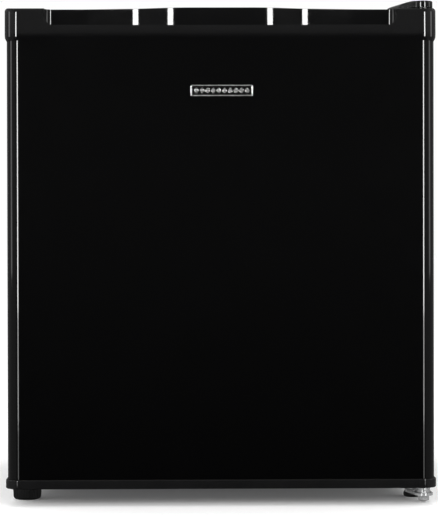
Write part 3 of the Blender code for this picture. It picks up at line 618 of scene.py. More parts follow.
def make_cap():
    top = CAP_HIGH.z
    cap = cap_shell()
    wall, pocket_wall = 0.003, 0.0025
    inside = door_plan(CAP_HIGH.x - wall, FRONT + wall, CORNER_R - wall, -0.18, 8)
    hollow = prism("hollow", inside, "Z", 0.46, 0.5030)
    keep = pocket_plan(pocket_wall, FRONT - 0.005, 40)
    cut(hollow, prism("keep", keep, "Z", POCKET_FLOOR - pocket_wall, 0.52))
    cut(hollow, *hinge_posts(BOSS_R, 0.45, 0.52))
    back = FRONT + LIP_WALL
    fillet = [(POCKET_FLOOR, -0.0020), (POCKET_FLOOR + 0.0004, -0.0011), (POCKET_FLOOR + 0.0012, -0.0003)]
    rows = fillet + [(POCKET_FLOOR + 0.0022, 0.0), (0.4880, 0.0), (0.5050, 0.0)]
    rows += rounded_top(top + 0.0002, 0.0005, 3) + [(0.52, 0.0006)]
    rings = [[(x, y, height) for x, y in pocket_plan(grow, back)] for height, grow in rows]
    edge = [(LIP_HALF, LIP_TOP), (0.1722, 0.4907), (0.1742, 0.4914), (0.1758, 0.4925), (0.1771, 0.4939)]
    edge += [(0.1781, 0.4957), (0.1789, 0.4978), (0.1796, 0.5003), (0.1802, 0.5030), (0.1808, 0.5050)]
    edge += [(0.1818, 0.5068), (0.1834, 0.5083), (0.1856, 0.5094), (0.1885, 0.5101), (0.1885, 0.515)]
    opening = edge + [(-x, z) for x, z in edge[::-1]]
    cut(cap, hollow, stack("pocket", rings), prism("opening", opening, "Y", FRONT - 0.005, back + 0.0010))
    cut(cap, edge_cutter((FRONT + CAP_LEAN * 0.33, LIP_TOP), 0.0006, -1))
    cut(cap, edge_cutter((back, LIP_TOP), 0.0005, 1))
    pad = [(0.0098, 0.5045), (0.0098, top - 0.0003), (0.0094, top)]
    join(cap, turned("hinge_pad", pad, HINGE, 48))
    cut(cap, *hinge_posts(BUSH_R, 0.488, 0.52))
    show(cap, "door", "black_gloss_abs", "door_top_cap")
    low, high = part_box("door_hole_plug")
    profile = [(0.0052, low.z), (0.0058, low.z + 0.001), (0.0060, high.z - 0.0010)]
    profile += [(0.0054, high.z - 0.0002), (0.0030, high.z)]
    plug = turned("spare_hole_plug", profile, (-HINGE_X, HINGE_Y), 40, "moulding")
    show(plug, "door", "black_plastic", "door_hole_plug")


def make_trim():
    low, high = TRIM_LOW.z, TRIM_HIGH.z
    foot = [(low, 0.0013), (low + 0.0003, 0.0007), (low + 0.0008, 0.0002), (low + 0.0016, 0.0)]
    rim = [(high - 0.0008, 0.0), (high - 0.0004, 0.0001), (high - 0.0001, 0.0004), (high + 0.0002, 0.0008)]
    rings = []
    for height, inset in foot + rim:
        plan = door_plan(TRIM_HIGH.x - inset, FRONT + inset, CORNER_R - inset, TRIM_HIGH.y)
        rings.append([(x, y, height) for x, y in plan])
    trim = stack("bottom_trim", rings, "trim")
    wall = 0.0035
    inside = door_plan(TRIM_HIGH.x - wall, FRONT + wall, CORNER_R - wall, -0.18, 8)
    hollow = prism("hollow", inside, "Z", 0.0205, 0.04)
    cut(hollow, *hinge_posts(BOSS_R, 0.01, 0.05))
    cut(trim, hollow, *hinge_posts(BUSH_R, 0.01, 0.05))
    show(trim, "door", "black_gloss_abs", "door_bottom_cap")


def make_skin():
    """The steel door skin: a wide flat front whose sides turn back round long vertical edges."""
    low, high = SKIN_LOW, SKIN_HIGH
    outer = door_plan(high.x, low.y, SKIN_R, high.y, 24)
    inner = door_plan(high.x - 0.001, low.y + 0.001, SKIN_R - 0.001, high.y, 24)
    skin = prism("door_front_skin", outer + inner[::-1], "Z", low.z, high.z, "steel")
    show(bevelled(skin, 0.0003, 2, 50), "door", "black_painted_steel", "door_skin")


def make_badge():
    """A plain outlined plate with a row of lozenges, in place of any mark."""
    nudge = Vector((-0.0009, 0.0, 0.0006))
    low, high = (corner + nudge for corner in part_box("door_badge"))
    back, front = high.y, low.y
    rim = 0.0013
    ring = prism("ring", inset_rect(low, high, 0.0, 0.0016, 5), "Y", front, back, "badge")
    cut(ring, prism("inside", inset_rect(low, high, rim, 0.0009, 5), "Y", front - 0.01, back + 0.01))
    bevelled(ring, 0.0003, 2)
    field = prism("field", inset_rect(low, high, rim * 0.8, 0.001, 5), "Y", front + 0.0005, back, "field")
    parts = [ring, field]
    middle = (low.z + high.z) / 2
    count, margin, wide, tall = 10, 0.0030, 0.0024, 0.0033
    for i in range(count):
        x = low.x + margin + (high.x - low.x - 2 * margin) * (i + 0.5) / count
        outline = [(x + wide, middle), (x, middle + tall), (x - wide, middle), (x, middle - tall)]
        lozenge = prism("lozenge", outline, "Y", front + 0.0001, front + 0.0006, "badge")
        parts.append(bevelled(lozenge, 0.0002, 2))
    show(merged("plain_badge", parts), "door", "badge_metal", "door_badge")


# The door's inside ------------------------------------------------------------------------------
def door_bulge(inset, base, radius):
    """The raised pad and the two dykes on the door's inner face, shrunk by inset, from y = base."""
    half, foot = PAD_HALF - inset, base - 0.02
    low, high = (-half, foot, 0.057 + inset), (half, DOOR_BACK + 0.013 - inset, 0.474 - inset)
    form = rounded_box("bulge", low, high, radius)
    across, depth = (DYKE_INNER + inset, DYKE_OUTER - inset), (foot, DOOR_BACK + 0.041 - inset)
    join(form, *mirrored("dyke", across, depth, (0.0615 + inset, DYKE_TOP - inset), radius))
    reach = DYKE_INNER + inset
    low, high = (-reach, -0.189 - inset, 0.065 - inset), (reach, -0.1, DYKE_TOP - 0.003 + inset)
    cut(form, rounded_box("recess", low, high, radius * 0.6))
    return cut(form, box("behind", (-0.3, -0.3, 0.0), (0.3, base, 0.6)))


def make_door_liner():
    low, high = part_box("door_liner")
    edge = SKIN_HIGH.x - 0.0002
    corner = (-edge, low.y - 0.0003, low.z)
    liner = rounded_box("door_inner_panel", corner, (edge, DOOR_BACK, high.z), 0.0003, "white", 2)
    join(liner, door_bulge(0.0, -0.1915, 0.0045))
    cut(liner, door_bulge(0.0015, -0.2, 0.0035))
    across = (DYKE_INNER - 0.0022, DYKE_INNER + 0.0006)
    for height in (LOWER_HOOK, UPPER_HOOK):
        lugs = mirrored("lug", across, (-0.176, -0.160), (height - 0.006, height), 0.0005, "white", 2)
        join(liner, *lugs)
    show(liner, "door", "white_plastic", "door_liner")


def make_gasket():
    """A magnetic seal: a flange pressed to the door, a bellows and the magnet's flat pocket."""
    low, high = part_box("door_gasket")
    back, front = low.y, high.y
    section = [(0.0, 0.0), (0.0, 0.0012), (0.0035, 0.0016), (0.0046, 0.0026), (0.0036, 0.0036)]
    section += [(0.0046, 0.0046), (0.0034, 0.0056), (0.0030, 0.0066), (0.0034, 0.0075)]
    section += [(0.0046, front - back), (0.0136, front - back), (0.0146, 0.0075)]
    section += [(0.0150, 0.0066), (0.0146, 0.0056), (0.0134, 0.0046), (0.0144, 0.0036)]
    section += [(0.0134, 0.0026), (0.0145, 0.0016), (0.0180, 0.0012), (0.0180, 0.0)]
    bm = bmesh.new()
    loops = []
    for across, depth in section:
        outline = inset_rect(low, high, across, 0.0192 - across, 5)
        loops.append([bm.verts.new((x, back + depth, z)) for x, z in outline])
    bridge(bm, loops + loops[:1])
    show(solid("magnetic_seal", bm, "rubber"), "door", "rubber", "door_gasket")


def make_rack(name, node, body, front_height, end_height, hook_height):
    """A clear door rack: taller ends, a rail above its ribbed front wall and a hook on each side."""
    low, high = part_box(node)
    half, back, front, floor = 0.1435, low.y, high.y, low.z
    wall, post = 0.0025, 0.008
    rack = rounded_box(name, (-half, back, floor), (half, front, high.z), 0.0050, "clear", 5)
    low, high = (-half + wall, back + wall, floor + wall), (half - wall, front - wall, floor + 0.2)
    cut(rack, rounded_box("inside", low, high, 0.0032))
    inner = half - post
    sill, gap_top = floor + front_height, floor + end_height - post
    cut(rack, rounded_box("front_gap", (-inner, front - 0.01, sill), (inner, 0.0, gap_top), 0.004))
    cut(rack, rounded_box("back_gap", (-inner, -0.2, sill - 0.01), (inner, -0.18, floor + 0.2), 0.004))
    ribs, margin, rib_half = 15, 0.016, 0.0010
    for i in range(ribs):
        x = -half + margin + 2 * (half - margin) * i / (ribs - 1)
        low = (x - rib_half, front - 0.001, floor + 0.007)
        high = (x + rib_half, front + 0.0007, sill - 0.005)
        join(rack, rounded_box("rib", low, high, 0.0006, "clear", 2))
    across, rise = (half - 0.001, half + 0.0018), (hook_height + GAP, hook_height + 0.005)
    join(rack, *mirrored("hook", across, (-0.178, -0.158), rise, 0.0005, "clear", 2))
    show(rack, body, "clear_plastic", node)


# The cabinet ------------------------------------------------------------------------------------
def make_cabinet_wrap():
    """One folded sheet: both sides and the top, with the flange that turns in round the mouth."""
    low, high = WRAP_LOW, WRAP_HIGH
    half, sheet, radius, flange = high.x, 0.001, 0.0035, 0.0063
    corner = arc((half - radius, high.z - radius), radius, 0, 90, 8)
    outline = [(half, low.z)] + corner + [(-x, z) for x, z in corner[::-1]] + [(-half, low.z)]
    wrap = prism("cabinet_shell", outline, "Y", low.y, high.y, "side")
    inner = half - sheet
    bend = arc((inner - radius, high.z - sheet - radius), radius, 0, 90, 6)
    hollow = [(inner, 0.0)] + bend + [(-x, z) for x, z in bend[::-1]] + [(-inner, 0.0)]
    cut(wrap, prism("inside", hollow, "Y", low.y + sheet, 0.21))
    mouth = CAVITY_HALF + flange
    cut(wrap, box("mouth", (-mouth, -0.19, 0.0), (mouth, -0.17, CAVITY_TOP + flange)))
    for place in TOP_SCREWS:
        cut(wrap, rod("hole", (*place, 0.495), (*place, 0.52), 0.0028, 24))
    show(bevelled(wrap, 0.0004, 3), "cabinet", "black_painted_steel", "cabinet_wrap")


def cavity_profile(grow):
    """The food compartment from the side (Y, Z), with the step over the compressor, grown outwards."""
    front = WRAP_LOW.y - 0.01
    return [
        (front, CAVITY_FLOOR - grow),
        (HUMP_Y + grow, CAVITY_FLOOR - grow),
        (HUMP_Y + grow, HUMP_TOP - grow),
        (CAVITY_BACK + grow, HUMP_TOP - grow),
        (CAVITY_BACK + grow, CAVITY_TOP + grow),
        (front, CAVITY_TOP + grow),
    ]


def make_inner_liner():
    """The vacuum-formed white compartment, with filleted corners and its shelf rails."""
    front, sheet = WRAP_LOW.y, 0.0015
    half = CAVITY_HALF + sheet
    liner = prism("compartment_liner", cavity_profile(sheet), "X", -half, half, "white")
    cut(liner, box("front_trim", (-0.3, -0.3, 0.0), (0.3, front, 0.6)))
    low, high = (LINER_LOW.x, front, LINER_LOW.z), (LINER_HIGH.x, front + sheet, LINER_HIGH.z)
    join(liner, rounded_box("lip", low, high, 0.0004, "white", 2))
    cavity = prism("cavity", cavity_profile(0.0), "X", -CAVITY_HALF, CAVITY_HALF)
    cut(liner, applied(bevelled(cavity, 0.006, 5, 60)))
    across = (CAVITY_HALF - 0.005, CAVITY_HALF + 0.0008)
    for height, back in ((SHELF_Z, 0.150), (TRAY_Z, 0.145), (0.150, 0.012)):
        top = height - GAP
        join(liner, *mirrored("rail", across, (-0.105, back), (top - 0.004, top), 0.0012, "white", 3))
    show(liner, "cabinet", "white_plastic", "inner_liner")


def make_back_panel():
    """The rear sheet, stiffened by pressed ribs and held by a row of screws round its edge."""
    low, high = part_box("back_panel")
    parts = [rounded_box("sheet", low, high, 0.0003, "galvanised", 2)]
    for i in range(7):
        x = 0.042 * (i - 3)
        outer = rounded_rect((x - 0.004, low.z + 0.045), (x + 0.004, high.z - 0.035), 0.0039, 5)
        inner = rounded_rect((x - 0.0026, low.z + 0.0464), (x + 0.0026, high.z - 0.0364), 0.0025, 5)
        for crest, start, end in ((outer, -0.0002, 0.0003), (inner, 0.0002, 0.0010)):
            rings = [[(a, high.y + start, b) for a, b in outer], [(a, high.y + end, b) for a, b in crest]]
            parts.append(stack("rib", rings, "galvanised"))
    edge = 0.207
    spots = [(x, z) for x in (-edge, -0.1, 0.0, 0.1, edge) for z in (low.z + 0.008, high.z - 0.008)]
    spots += [(x, z) for z in (0.28, 0.39) for x in (-edge, edge)]
    parts += [screw_head((x, high.y, z), 0.0036) for x, z in spots]
    show(merged("rear_sheet", parts), "cabinet", "galvanised_steel", "back_panel")


def screw_head(place, radius):
    """A pan head with a cross slot, standing out of a face that looks towards +Y."""
    profile = [(radius, 0.0), (radius, 0.0006), (radius * 0.85, 0.0014), (radius * 0.5, 0.0019)]
    head = turned("head", profile, (0, 0), 24, "zinc")
    for wide, tall in ((radius * 0.6, 0.0003), (0.0003, radius * 0.6)):
        cut(head, box("slot", (-wide, -tall, 0.0008), (wide, tall, 0.004)))
    head.data.transform(Matrix.Translation(place) @ Matrix.Rotation(math.radians(-90), 4, "X"))
    return head


# Ice box, thermostat and shelves ----------------------------------------------------------------
def make_evaporator():
    """The ice box: a folded aluminium box with the raised channels of its roll-bonded refrigerant path."""
    low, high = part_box("evaporator")
    wall = 0.0015
    shell = prism("ice_box", inset_rect(low, high, 0.0, 0.012, 8), "Y", low.y, high.y, "aluminium")
    cut(shell, prism("inside", inset_rect(low, high, wall, 0.0105, 8), "Y", low.y - 0.01, high.y - wall))
    left, right, floor, roof = low.x + wall / 2, high.x - wall / 2, low.z + wall / 2, high.z - 0.018
    corners = [(left, low.y + 0.02, roof)]
    runs = 6
    for i in range(runs):
        y = low.y + 0.02 + (high.y - low.y - 0.045) * i / (runs - 1)
        sides = (left, right) if i % 2 == 0 else (right, left)
        if i:
            corners.append((sides[0], y, roof))
        corners += [(sides[0], y, floor), (sides[1], y, floor), (sides[1], y, roof)]
    channel = tube("channel", rounded_path(corners, 0.010, 5), 0.0021, "aluminium", 8)
    show(merged("ice_box_shell", [shell, channel]), "cabinet", "aluminium", "evaporator")


def make_freezer_front():
    low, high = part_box("freezer_frame")
    surround = rounded_box("ice_box_frame", low, high, 0.0015, "white_part", 3)
    left, right = low.x + 0.0045, high.x - 0.0045
    cut(surround, rounded_box("opening", (left, -0.1, 0.3985), (right, -0.07, 0.4733), 0.0016, segments=3))
    cut(surround, rod("pivot_holes", (left - 0.006, *FLAP_AXIS), (right + 0.006, *FLAP_AXIS), 0.0018, 20))
    show(surround, "cabinet", "white_plastic", "freezer_frame")
    low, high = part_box("freezer_flap")
    left, right = low.x + 0.002, high.x - 0.002
    low, high = (left, -0.088, 0.3995), (right, -0.085, 0.4715)
    flap = rounded_box("ice_box_flap", low, high, 0.0011, "frosted", 3)
    join(flap, rounded_box("pull", (-0.062, -0.095, 0.4015), (0.018, -0.087, 0.4045), 0.0010, "frosted", 3))
    for i in range(9):
        z = 0.4125 + 0.0055 * i
        rib_low, rib_high = (left + 0.012, -0.0886, z - 0.0008), (right - 0.012, -0.0875, z + 0.0008)
        join(flap, rounded_box("rib", rib_low, rib_high, 0.0005, "frosted", 2))
    join(flap, rod("pivots", (left - 0.002, *FLAP_AXIS), (right + 0.002, *FLAP_AXIS), 0.0014, 20))
    show(flap, "ice_box_flap", "clear_plastic", "freezer_flap")


def make_drip_tray():
    low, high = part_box("drip_tray")
    wall, front = 0.002, -0.084
    tray = rounded_box("drip_tray_bin", (low.x, front, low.z), (high.x, high.y, high.z), 0.0018, "clear", 3)
    inner_low, inner_high = (low.x + wall, front + wall, low.z + wall), (high.x - wall, high.y - wall, 0.42)
    cut(tray, rounded_box("inside", inner_low, inner_high, 0.0025, segments=3))
    for i in range(11):
        x = 0.030 * (i - 5)
        rib_low = (x - 0.0009, front + 0.012, low.z + 0.0015)
        rib_high = (x + 0.0009, high.y - 0.012, low.z + 0.0032)
        join(tray, rounded_box("rib", rib_low, rib_high, 0.0005, "clear", 2))
    pull_low, pull_high = (-0.06, low.y, low.z + 0.012), (0.06, front + 0.001, low.z + 0.0145)
    join(tray, rounded_box("pull", pull_low, pull_high, 0.0010, "clear", 3))
    show(tray, "drip_tray", "clear_plastic", "drip_tray")


def make_shelf():
    low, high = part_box("shelf_glass")
    outline = rounded_rect((low.x, low.y), (high.x, high.y), 0.003, 6)
    glass = prism("glass_shelf", outline, "Z", low.z, high.z, "glass")
    show(bevelled(glass, 0.0006, 3), "shelf", "glass", "shelf_glass")
    low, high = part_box("shelf_trim_front")
    trim = rounded_box("shelf_front_trim", low, high, 0.0022, "white_part", 4)
    cut(trim, box("seat", (-0.2, -0.0983, SHELF_Z - GAP), (0.2, 0.2, SHELF_Z + 0.0043)))
    show(bevelled(trim, 0.0003, 2), "shelf", "white_plastic", "shelf_trim_front")


def make_thermostat():
    low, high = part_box("thermostat_housing")
    x, front, z = 0.162, low.y, 0.436
    wall = 0.002
    housing = rounded_box("thermostat_case", low, high, 0.0035, "white_part", 4)
    cut(housing, box("inside", (low.x + wall, front + wall, low.z + wall), (0.19, 0.07, high.z - wall)))
    cut(housing, rod("shaft_hole", (x, front - 0.01, z), (x, front + 0.01, z), 0.0042, 28))
    for i in range(6):
        y = front + 0.030 + 0.010 * i
        cut(housing, rounded_box("vent", (0.13, y, 0.408), (0.145, y + 0.003, 0.458), 0.001, segments=2))
    parts = [housing]
    marks, ring = 7, 0.0193
    for i in range(marks):
        angle = math.radians(210 - 240 * i / (marks - 1))
        mark_x, mark_z = x + ring * math.cos(angle), z + ring * math.sin(angle)
        ends = (mark_x, front - 0.0002, mark_z), (mark_x, front + 0.0006, mark_z)
        parts.append(rod("mark", *ends, 0.0006 + 0.00022 * i, 16, "print"))
    show(merged("thermostat_case", parts), "cabinet", "white_plastic", "thermostat_housing")
    profile = [(0.0160, 0.0003), (0.0160, 0.0022), (0.0148, 0.0030)]
    profile += [(0.0142, 0.0140), (0.0130, 0.0156), (0.0100, 0.0160)]
    knob = turned("knob", profile, (0, 0), 120, "white_part", ribs=24, rib_depth=0.0008, ribbed=(2, 3))
    knob.data.transform(Matrix.Translation((x, front, z)) @ Matrix.Rotation(math.radians(90), 4, "X"))
    grip_low, grip_high = (x - 0.003, front - 0.023, z - 0.0145), (x + 0.003, front - 0.0150, z + 0.0145)
    join(knob, rounded_box("grip", grip_low, grip_high, 0.0012, "white_part", 3))
    join(knob, rod("shaft", (x, front - 0.001, z), (x, front + wall - GAP, z), 0.0037, 28))
    tip_low, tip_high = (x - 0.0006, front - 0.0232, z + 0.004), (x + 0.0006, front - 0.0226, z + 0.0135)
    pointer = rounded_box("pointer", tip_low, tip_high, 0.0002, "print", 2)
    show(merged("thermostat_dial", [knob, pointer]), "thermostat_knob", "white_plastic", "thermostat_knob")
    bulb = [(0.1360, 0.030, 0.430), (0.1312, 0.030, 0.430), (0.1312, 0.085, 0.430), (0.1312, 0.085, 0.415)]
    sensor = tube("sensor_capillary", rounded_path(bulb, 0.003, 6), 0.0012, "copper")
    show(sensor, "cabinet", "copper", "thermostat_sensor")


# Refrigeration at the back ----------------------------------------------------------------------
def make_compressor():
    """The hermetic motor: two drawn half shells on a weld seam, foot plate, bolts, terminal cover."""
    low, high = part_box("compressor_shell")
    x, y = COMPRESSOR
    profile = [(0.020, 0.036), (0.034, 0.0372), (0.042, 0.040), (0.048, 0.0455), (0.052, 0.052)]
    profile += [(0.0545, 0.061), (0.055, 0.070), (0.055, 0.0838), (0.0555, 0.0843), (0.0575, 0.0845)]
    profile += [(0.0580, 0.0852), (0.0580, 0.0880), (0.0575, 0.0886), (0.0555, 0.0888), (0.0550, 0.0894)]
    profile += [(0.0550, 0.1020), (0.0543, 0.1120), (0.0520, 0.1210), (0.0478, 0.1292), (0.0400, 0.1355)]
    profile += [(0.0300, 0.1390), (0.0180, 0.1405), (0.0080, high.z)]
    shell = turned("dome", profile, COMPRESSOR, 96, "enamel", widen=1.18)
    outline = rounded_rect((x - 0.092, y - 0.055), (x + 0.092, y + 0.055), 0.010, 6)
    plate = prism("plate", outline, "Z", low.z, low.z + 0.003, "enamel")
    spots = [(x + sx * 0.080, y + sy * 0.045) for sx in (-1, 1) for sy in (-1, 1)]
    for spot in spots:
        cut(plate, rod("hole", (*spot, 0.02), (*spot, 0.05), 0.0062, 24))
    parts = [bevelled(shell, 0.0003, 2, 40), bevelled(plate, 0.0006, 3)]
    for spot in spots:
        bolt = [(0.0024, 0.0215), (0.0024, 0.0424), (0.0058, 0.0424), (0.0058, 0.0432), (0.0045, 0.0434)]
        bolt += [(0.0045, 0.0462), (0.0030, 0.0470)]
        parts.append(turned("bolt", bolt, spot, 6, "zinc"))
    for sx, height in ((0.30, 0.150), (0.55, 0.146)):
        stub = [(x + 0.055 * sx, y - 0.030, z) for z in (0.130, height - 0.004, height)]
        parts.append(tube("stub", stub, 0.0030, "copper", 16))
    show(merged("compressor", parts), "cabinet", "black_painted_steel", "compressor_shell")
    low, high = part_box("compressor_relay_cover")
    cover = rounded_box("relay_cover", low, high, 0.0035, "moulding", 4)
    for i in range(5):
        z = 0.070 + 0.009 * i
        slot_low, slot_high = (high.x - 0.0012, low.y + 0.008, z), (high.x + 0.01, high.y - 0.008, z + 0.003)
        cut(cover, box("slot", slot_low, slot_high))
    show(bevelled(cover, 0.0003, 2), "cabinet", "black_plastic", "compressor_relay_cover")


def make_condenser():
    """A wire-on-tube condenser: one serpentine pipe between two rows of upright wires."""
    x, y = COMPRESSOR[0] + 0.025, COMPRESSOR[1] + 0.013
    top = CONDENSER_LOW + CONDENSER_PITCH * (CONDENSER_PASSES - 1)
    start = 0.156
    corners = [(x, y, 0.1413), (x, y, start), (RISER_X, y, start)]
    corners += [(RISER_X, CONDENSER_Y, start), (RISER_X, CONDENSER_Y, top)]
    for number in range(CONDENSER_PASSES):
        height = top - number * CONDENSER_PITCH
        side = -1 if number % 2 == 0 else 1
        if number:
            corners.append((-side * CONDENSER_HALF, CONDENSER_Y, height))
        corners.append((side * CONDENSER_HALF, CONDENSER_Y, height))
    corners[-1] = (DRIER_X, CONDENSER_Y, corners[-1][2])
    corners.append((DRIER_X, CONDENSER_Y, 0.1395))
    pipe = tube("condenser_pipe", rounded_path(corners, 0.013, 10), CONDENSER_R, "enamel", 14)
    show(pipe, "cabinet", "black_painted_steel", "condenser_tube")
    low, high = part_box("condenser_wires")
    radius = (high.y - low.y) / 2
    outer = (low.y + high.y) / 2
    inner = CONDENSER_Y - CONDENSER_R - radius
    wires = []
    count = 35
    for i in range(count):
        x = low.x + radius + (high.x - low.x - 2 * radius) * i / (count - 1)
        depth = outer if i % 2 == 0 or abs(x) > 0.150 else inner
        points = [(x, depth, z) for z in (low.z + radius, (low.z + high.z) / 2, high.z - radius)]
        wires.append(tube("wire", points, radius * 0.95, "enamel", 8))
    for z in (low.z + radius, high.z - radius):
        points = [(x, outer, z) for x in (low.x, 0.0, high.x)]
        wires.append(tube("wire", points, radius * 0.95, "enamel", 8))
    show(merged("condenser_wire_rows", wires), "cabinet", "black_painted_steel", "condenser_wires")


def make_pipes():
    x, y = COMPRESSOR
    profile = [(0.0022, 0.0500), (0.0030, 0.0512), (0.0052, 0.0540), (0.0074, 0.0572), (0.0080, 0.0600)]
    profile += [(0.0080, 0.1220), (0.0074, 0.1248), (0.0052, 0.1280), (0.0032, 0.1308), (0.0032, 0.1392)]
    bottle = turned("filter_bottle", profile, (DRIER_X, CONDENSER_Y), 40, "copper")
    show(bottle, "cabinet", "copper", "filter_drier")
    path = [(x - 0.055, y + 0.030, 0.129), (x - 0.095, y + 0.030, 0.129), (x - 0.095, y + 0.030, 0.1665)]
    suction = tube("suction_pipe", rounded_path(path, 0.012, 8), 0.0035, "copper", 20)
    show(suction, "cabinet", "copper", "suction_line")
    coil = []
    turns, steps = 3, 40
    for i in range(turns * steps + 1):
        angle = math.tau * i / steps
        rise = 0.050 + 0.004 * i / steps
        coil.append((0.180 + 0.014 * math.sin(angle), 0.150 + 0.014 * math.cos(angle), rise))
    lead_in = [(DRIER_X, CONDENSER_Y, z) for z in (0.0497, 0.040)] + [(DRIER_X + 0.008, 0.190, 0.042)]
    lead_out = [(0.180, 0.164, 0.075), (0.180, 0.160, 0.1665)]
    capillary = tube("capillary", [*lead_in, *coil, *lead_out], 0.001, "copper", 8)
    show(capillary, "cabinet", "copper", "capillary_tube")
    low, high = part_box("cord_gland")
    place = ((low.x + high.x) / 2, (low.y + high.y) / 2)
    profile = [(0.0100, low.z), (0.0100, 0.0235), (0.0085, 0.0240), (0.0085, 0.0330)]
    profile += [(0.0075, high.z - 0.0006), (0.0066, high.z)]
    gland = turned("cord_bushing", profile, place, 40, "moulding")
    cut(gland, rod("bore", (*place, 0.0), (*place, 0.05), 0.0042, 28))
    show(gland, "cabinet", "black_plastic", "cord_gland")


def make_blank_cap():
    low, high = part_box("hinge_blank_cap")
    outline = rounded_rect((low.x, low.y), (high.x, high.y), 0.004, 8)
    cap = prism("spare_hinge_cover", outline, "Z", low.z, high.z, "moulding")
    show(bevelled(cap, 0.0006, 3), "cabinet", "black_plastic", "hinge_blank_cap")


# Hinges and feet --------------------------------------------------------------------------------
COVER_BOSS = (HINGE_X - 0.0005, HINGE_Y)


def cover_plan(inset, left_inset):
    """The hinge cover from above: a round boss over the pin with a wing to its left."""
    nose = arc(COVER_BOSS, 0.0102 - inset, 218, 360, 24)
    left, right, back = 0.1735 + left_inset, 0.218 - inset, -0.128 - inset
    step_x, step_y = 0.1837, -0.213
    across = 0.62 * left_inset
    shoulder = (step_x + across, step_y + across * (nose[0][1] - step_y) / (nose[0][0] - step_x))
    rest = [(right, -0.190), (right, -0.134 - inset), (right - 0.006, back)]
    rest += [(max(left, 0.184), back), (left, -0.150), (left, -0.190), shoulder]
    return nose + rest


def make_hinge_cover():
    low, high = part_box("top_hinge_cover")
    levels = [(low.z, 0.0, 0.0), (0.5110, 0.0, 0.0003), (0.5124, 0.0, 0.0015), (0.5138, 0.0, 0.0048)]
    levels += [(0.5153, 0.0, 0.0108), (0.5163, 0.0001, 0.0174), (0.5168, 0.0004, 0.0222)]
    levels += [(high.z, 0.0010, 0.0248)]
    rings = [[(x, y, z) for x, y in cover_plan(inset, left)] for z, inset, left in levels]
    cover = stack("hinge_cap", rings, "cover")
    inner = [(0.50, 0.0012, 0.0015), (0.5126, 0.0012, 0.003), (0.5152, 0.0015, 0.020)]
    hollow = [[(x, y, z) for x, y in cover_plan(inset, left)] for z, inset, left in inner]
    cut(cover, stack("hollow", hollow))
    cut(cover, box("cabinet_space", (0.1, -0.190, 0.5), (0.23, 0.0, WRAP_HIGH.z + GAP)))
    join(cover, turned("boss_step", [(0.0094, 0.5125), (0.0094, 0.5166), (0.0088, high.z)], COVER_BOSS))
    groove = turned("groove", [(0.0079, 0.5167), (0.0083, 0.5175)], COVER_BOSS)
    cut(groove, turned("core", [(0.0072, 0.510), (0.0072, 0.520)], COVER_BOSS))
    cut(cover, groove)
    show(bevelled(cover, 0.0002, 2, 34), "cabinet", "black_gloss_abs", "top_hinge_cover")


def make_bottom_hinge():
    low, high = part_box("bottom_hinge_bracket")
    back, top, screw_z = high.y, low.z + 0.0025, 0.0245
    plan = arc(HINGE, 0.0095, 180, 360, 28) + [(0.2175, back), (0.1925, back)]
    bracket = prism("lower_bracket", plan, "Z", low.z, top, "zinc")
    join(bracket, box("leg", (0.184, back - 0.0025, low.z + 0.0005), (0.2175, back, high.z), "zinc"))
    cut(bracket, box("relief", (0.180, back - 0.010, 0.0), (0.1925, back + 0.010, 0.0192)))
    cut(bracket, rod("pin_hole", (*HINGE, 0.0), (*HINGE, 0.03), 0.0034, 28))
    screws = []
    for number, x in enumerate((0.1895, 0.2105), 1):
        cut(bracket, rod("screw_hole", (x, -0.2, screw_z), (x, -0.17, screw_z), 0.0028, 24))
        face = back - 0.0045
        head = rod("head", (x, face, screw_z), (x, back - 0.0028, screw_z), 0.0042, 28, "zinc")
        for wide, tall in ((0.0026, 0.0004), (0.0004, 0.0026)):
            slot_low = (x - wide, face - 0.001, screw_z - tall)
            cut(head, box("slot", slot_low, (x + wide, face + 0.001, screw_z + tall)))
        shank = rod("shank", (x, back - 0.003, screw_z), (x, back - 0.0004, screw_z), 0.0022, 20, "zinc")
        screws.append(merged(f"lower_bracket_screw_{number}", [bevelled(head, 0.0004, 3), shank]))
    show(bevelled(bracket, 0.0005, 3), "cabinet", "zinc_steel", "bottom_hinge_bracket")
    for number, screw in enumerate(screws, 1):
        show(screw, "cabinet", "zinc_steel", f"bottom_hinge_screw_{number}")
    profile = [(0.0022, PIN_LOW.z), (0.0030, PIN_LOW.z + 0.0008), (0.0030, top + GAP), (0.0062, top + GAP)]
    profile += [(0.0066, top + 0.0008), (0.0066, 0.0136), (0.0060, 0.0140), (0.0060, 0.0144)]
    profile += [(0.0066, 0.0148), (0.0066, 0.0168), (0.0062, 0.0172), (0.0040, 0.0172)]
    profile += [(0.0040, 0.0345), (0.0030, PIN_HIGH.z)]
    pin = turned("lower_hinge_pin", profile, HINGE, 40, "zinc")
    show(pin, "cabinet", "zinc_steel", "bottom_hinge_pin")
    low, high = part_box("bottom_hinge_nut")
    profile = [(0.0050, low.z), (0.0058, low.z + 0.0007), (0.0058, high.z - 0.0007), (0.0052, high.z)]
    nut = turned("lower_hinge_nut", profile, HINGE, 6, "zinc")
    cut(nut, rod("thread", (*HINGE, 0.0), (*HINGE, 0.02), 0.0032, 28))
    show(bevelled(nut, 0.0002, 2), "cabinet", "zinc_steel", "bottom_hinge_nut")


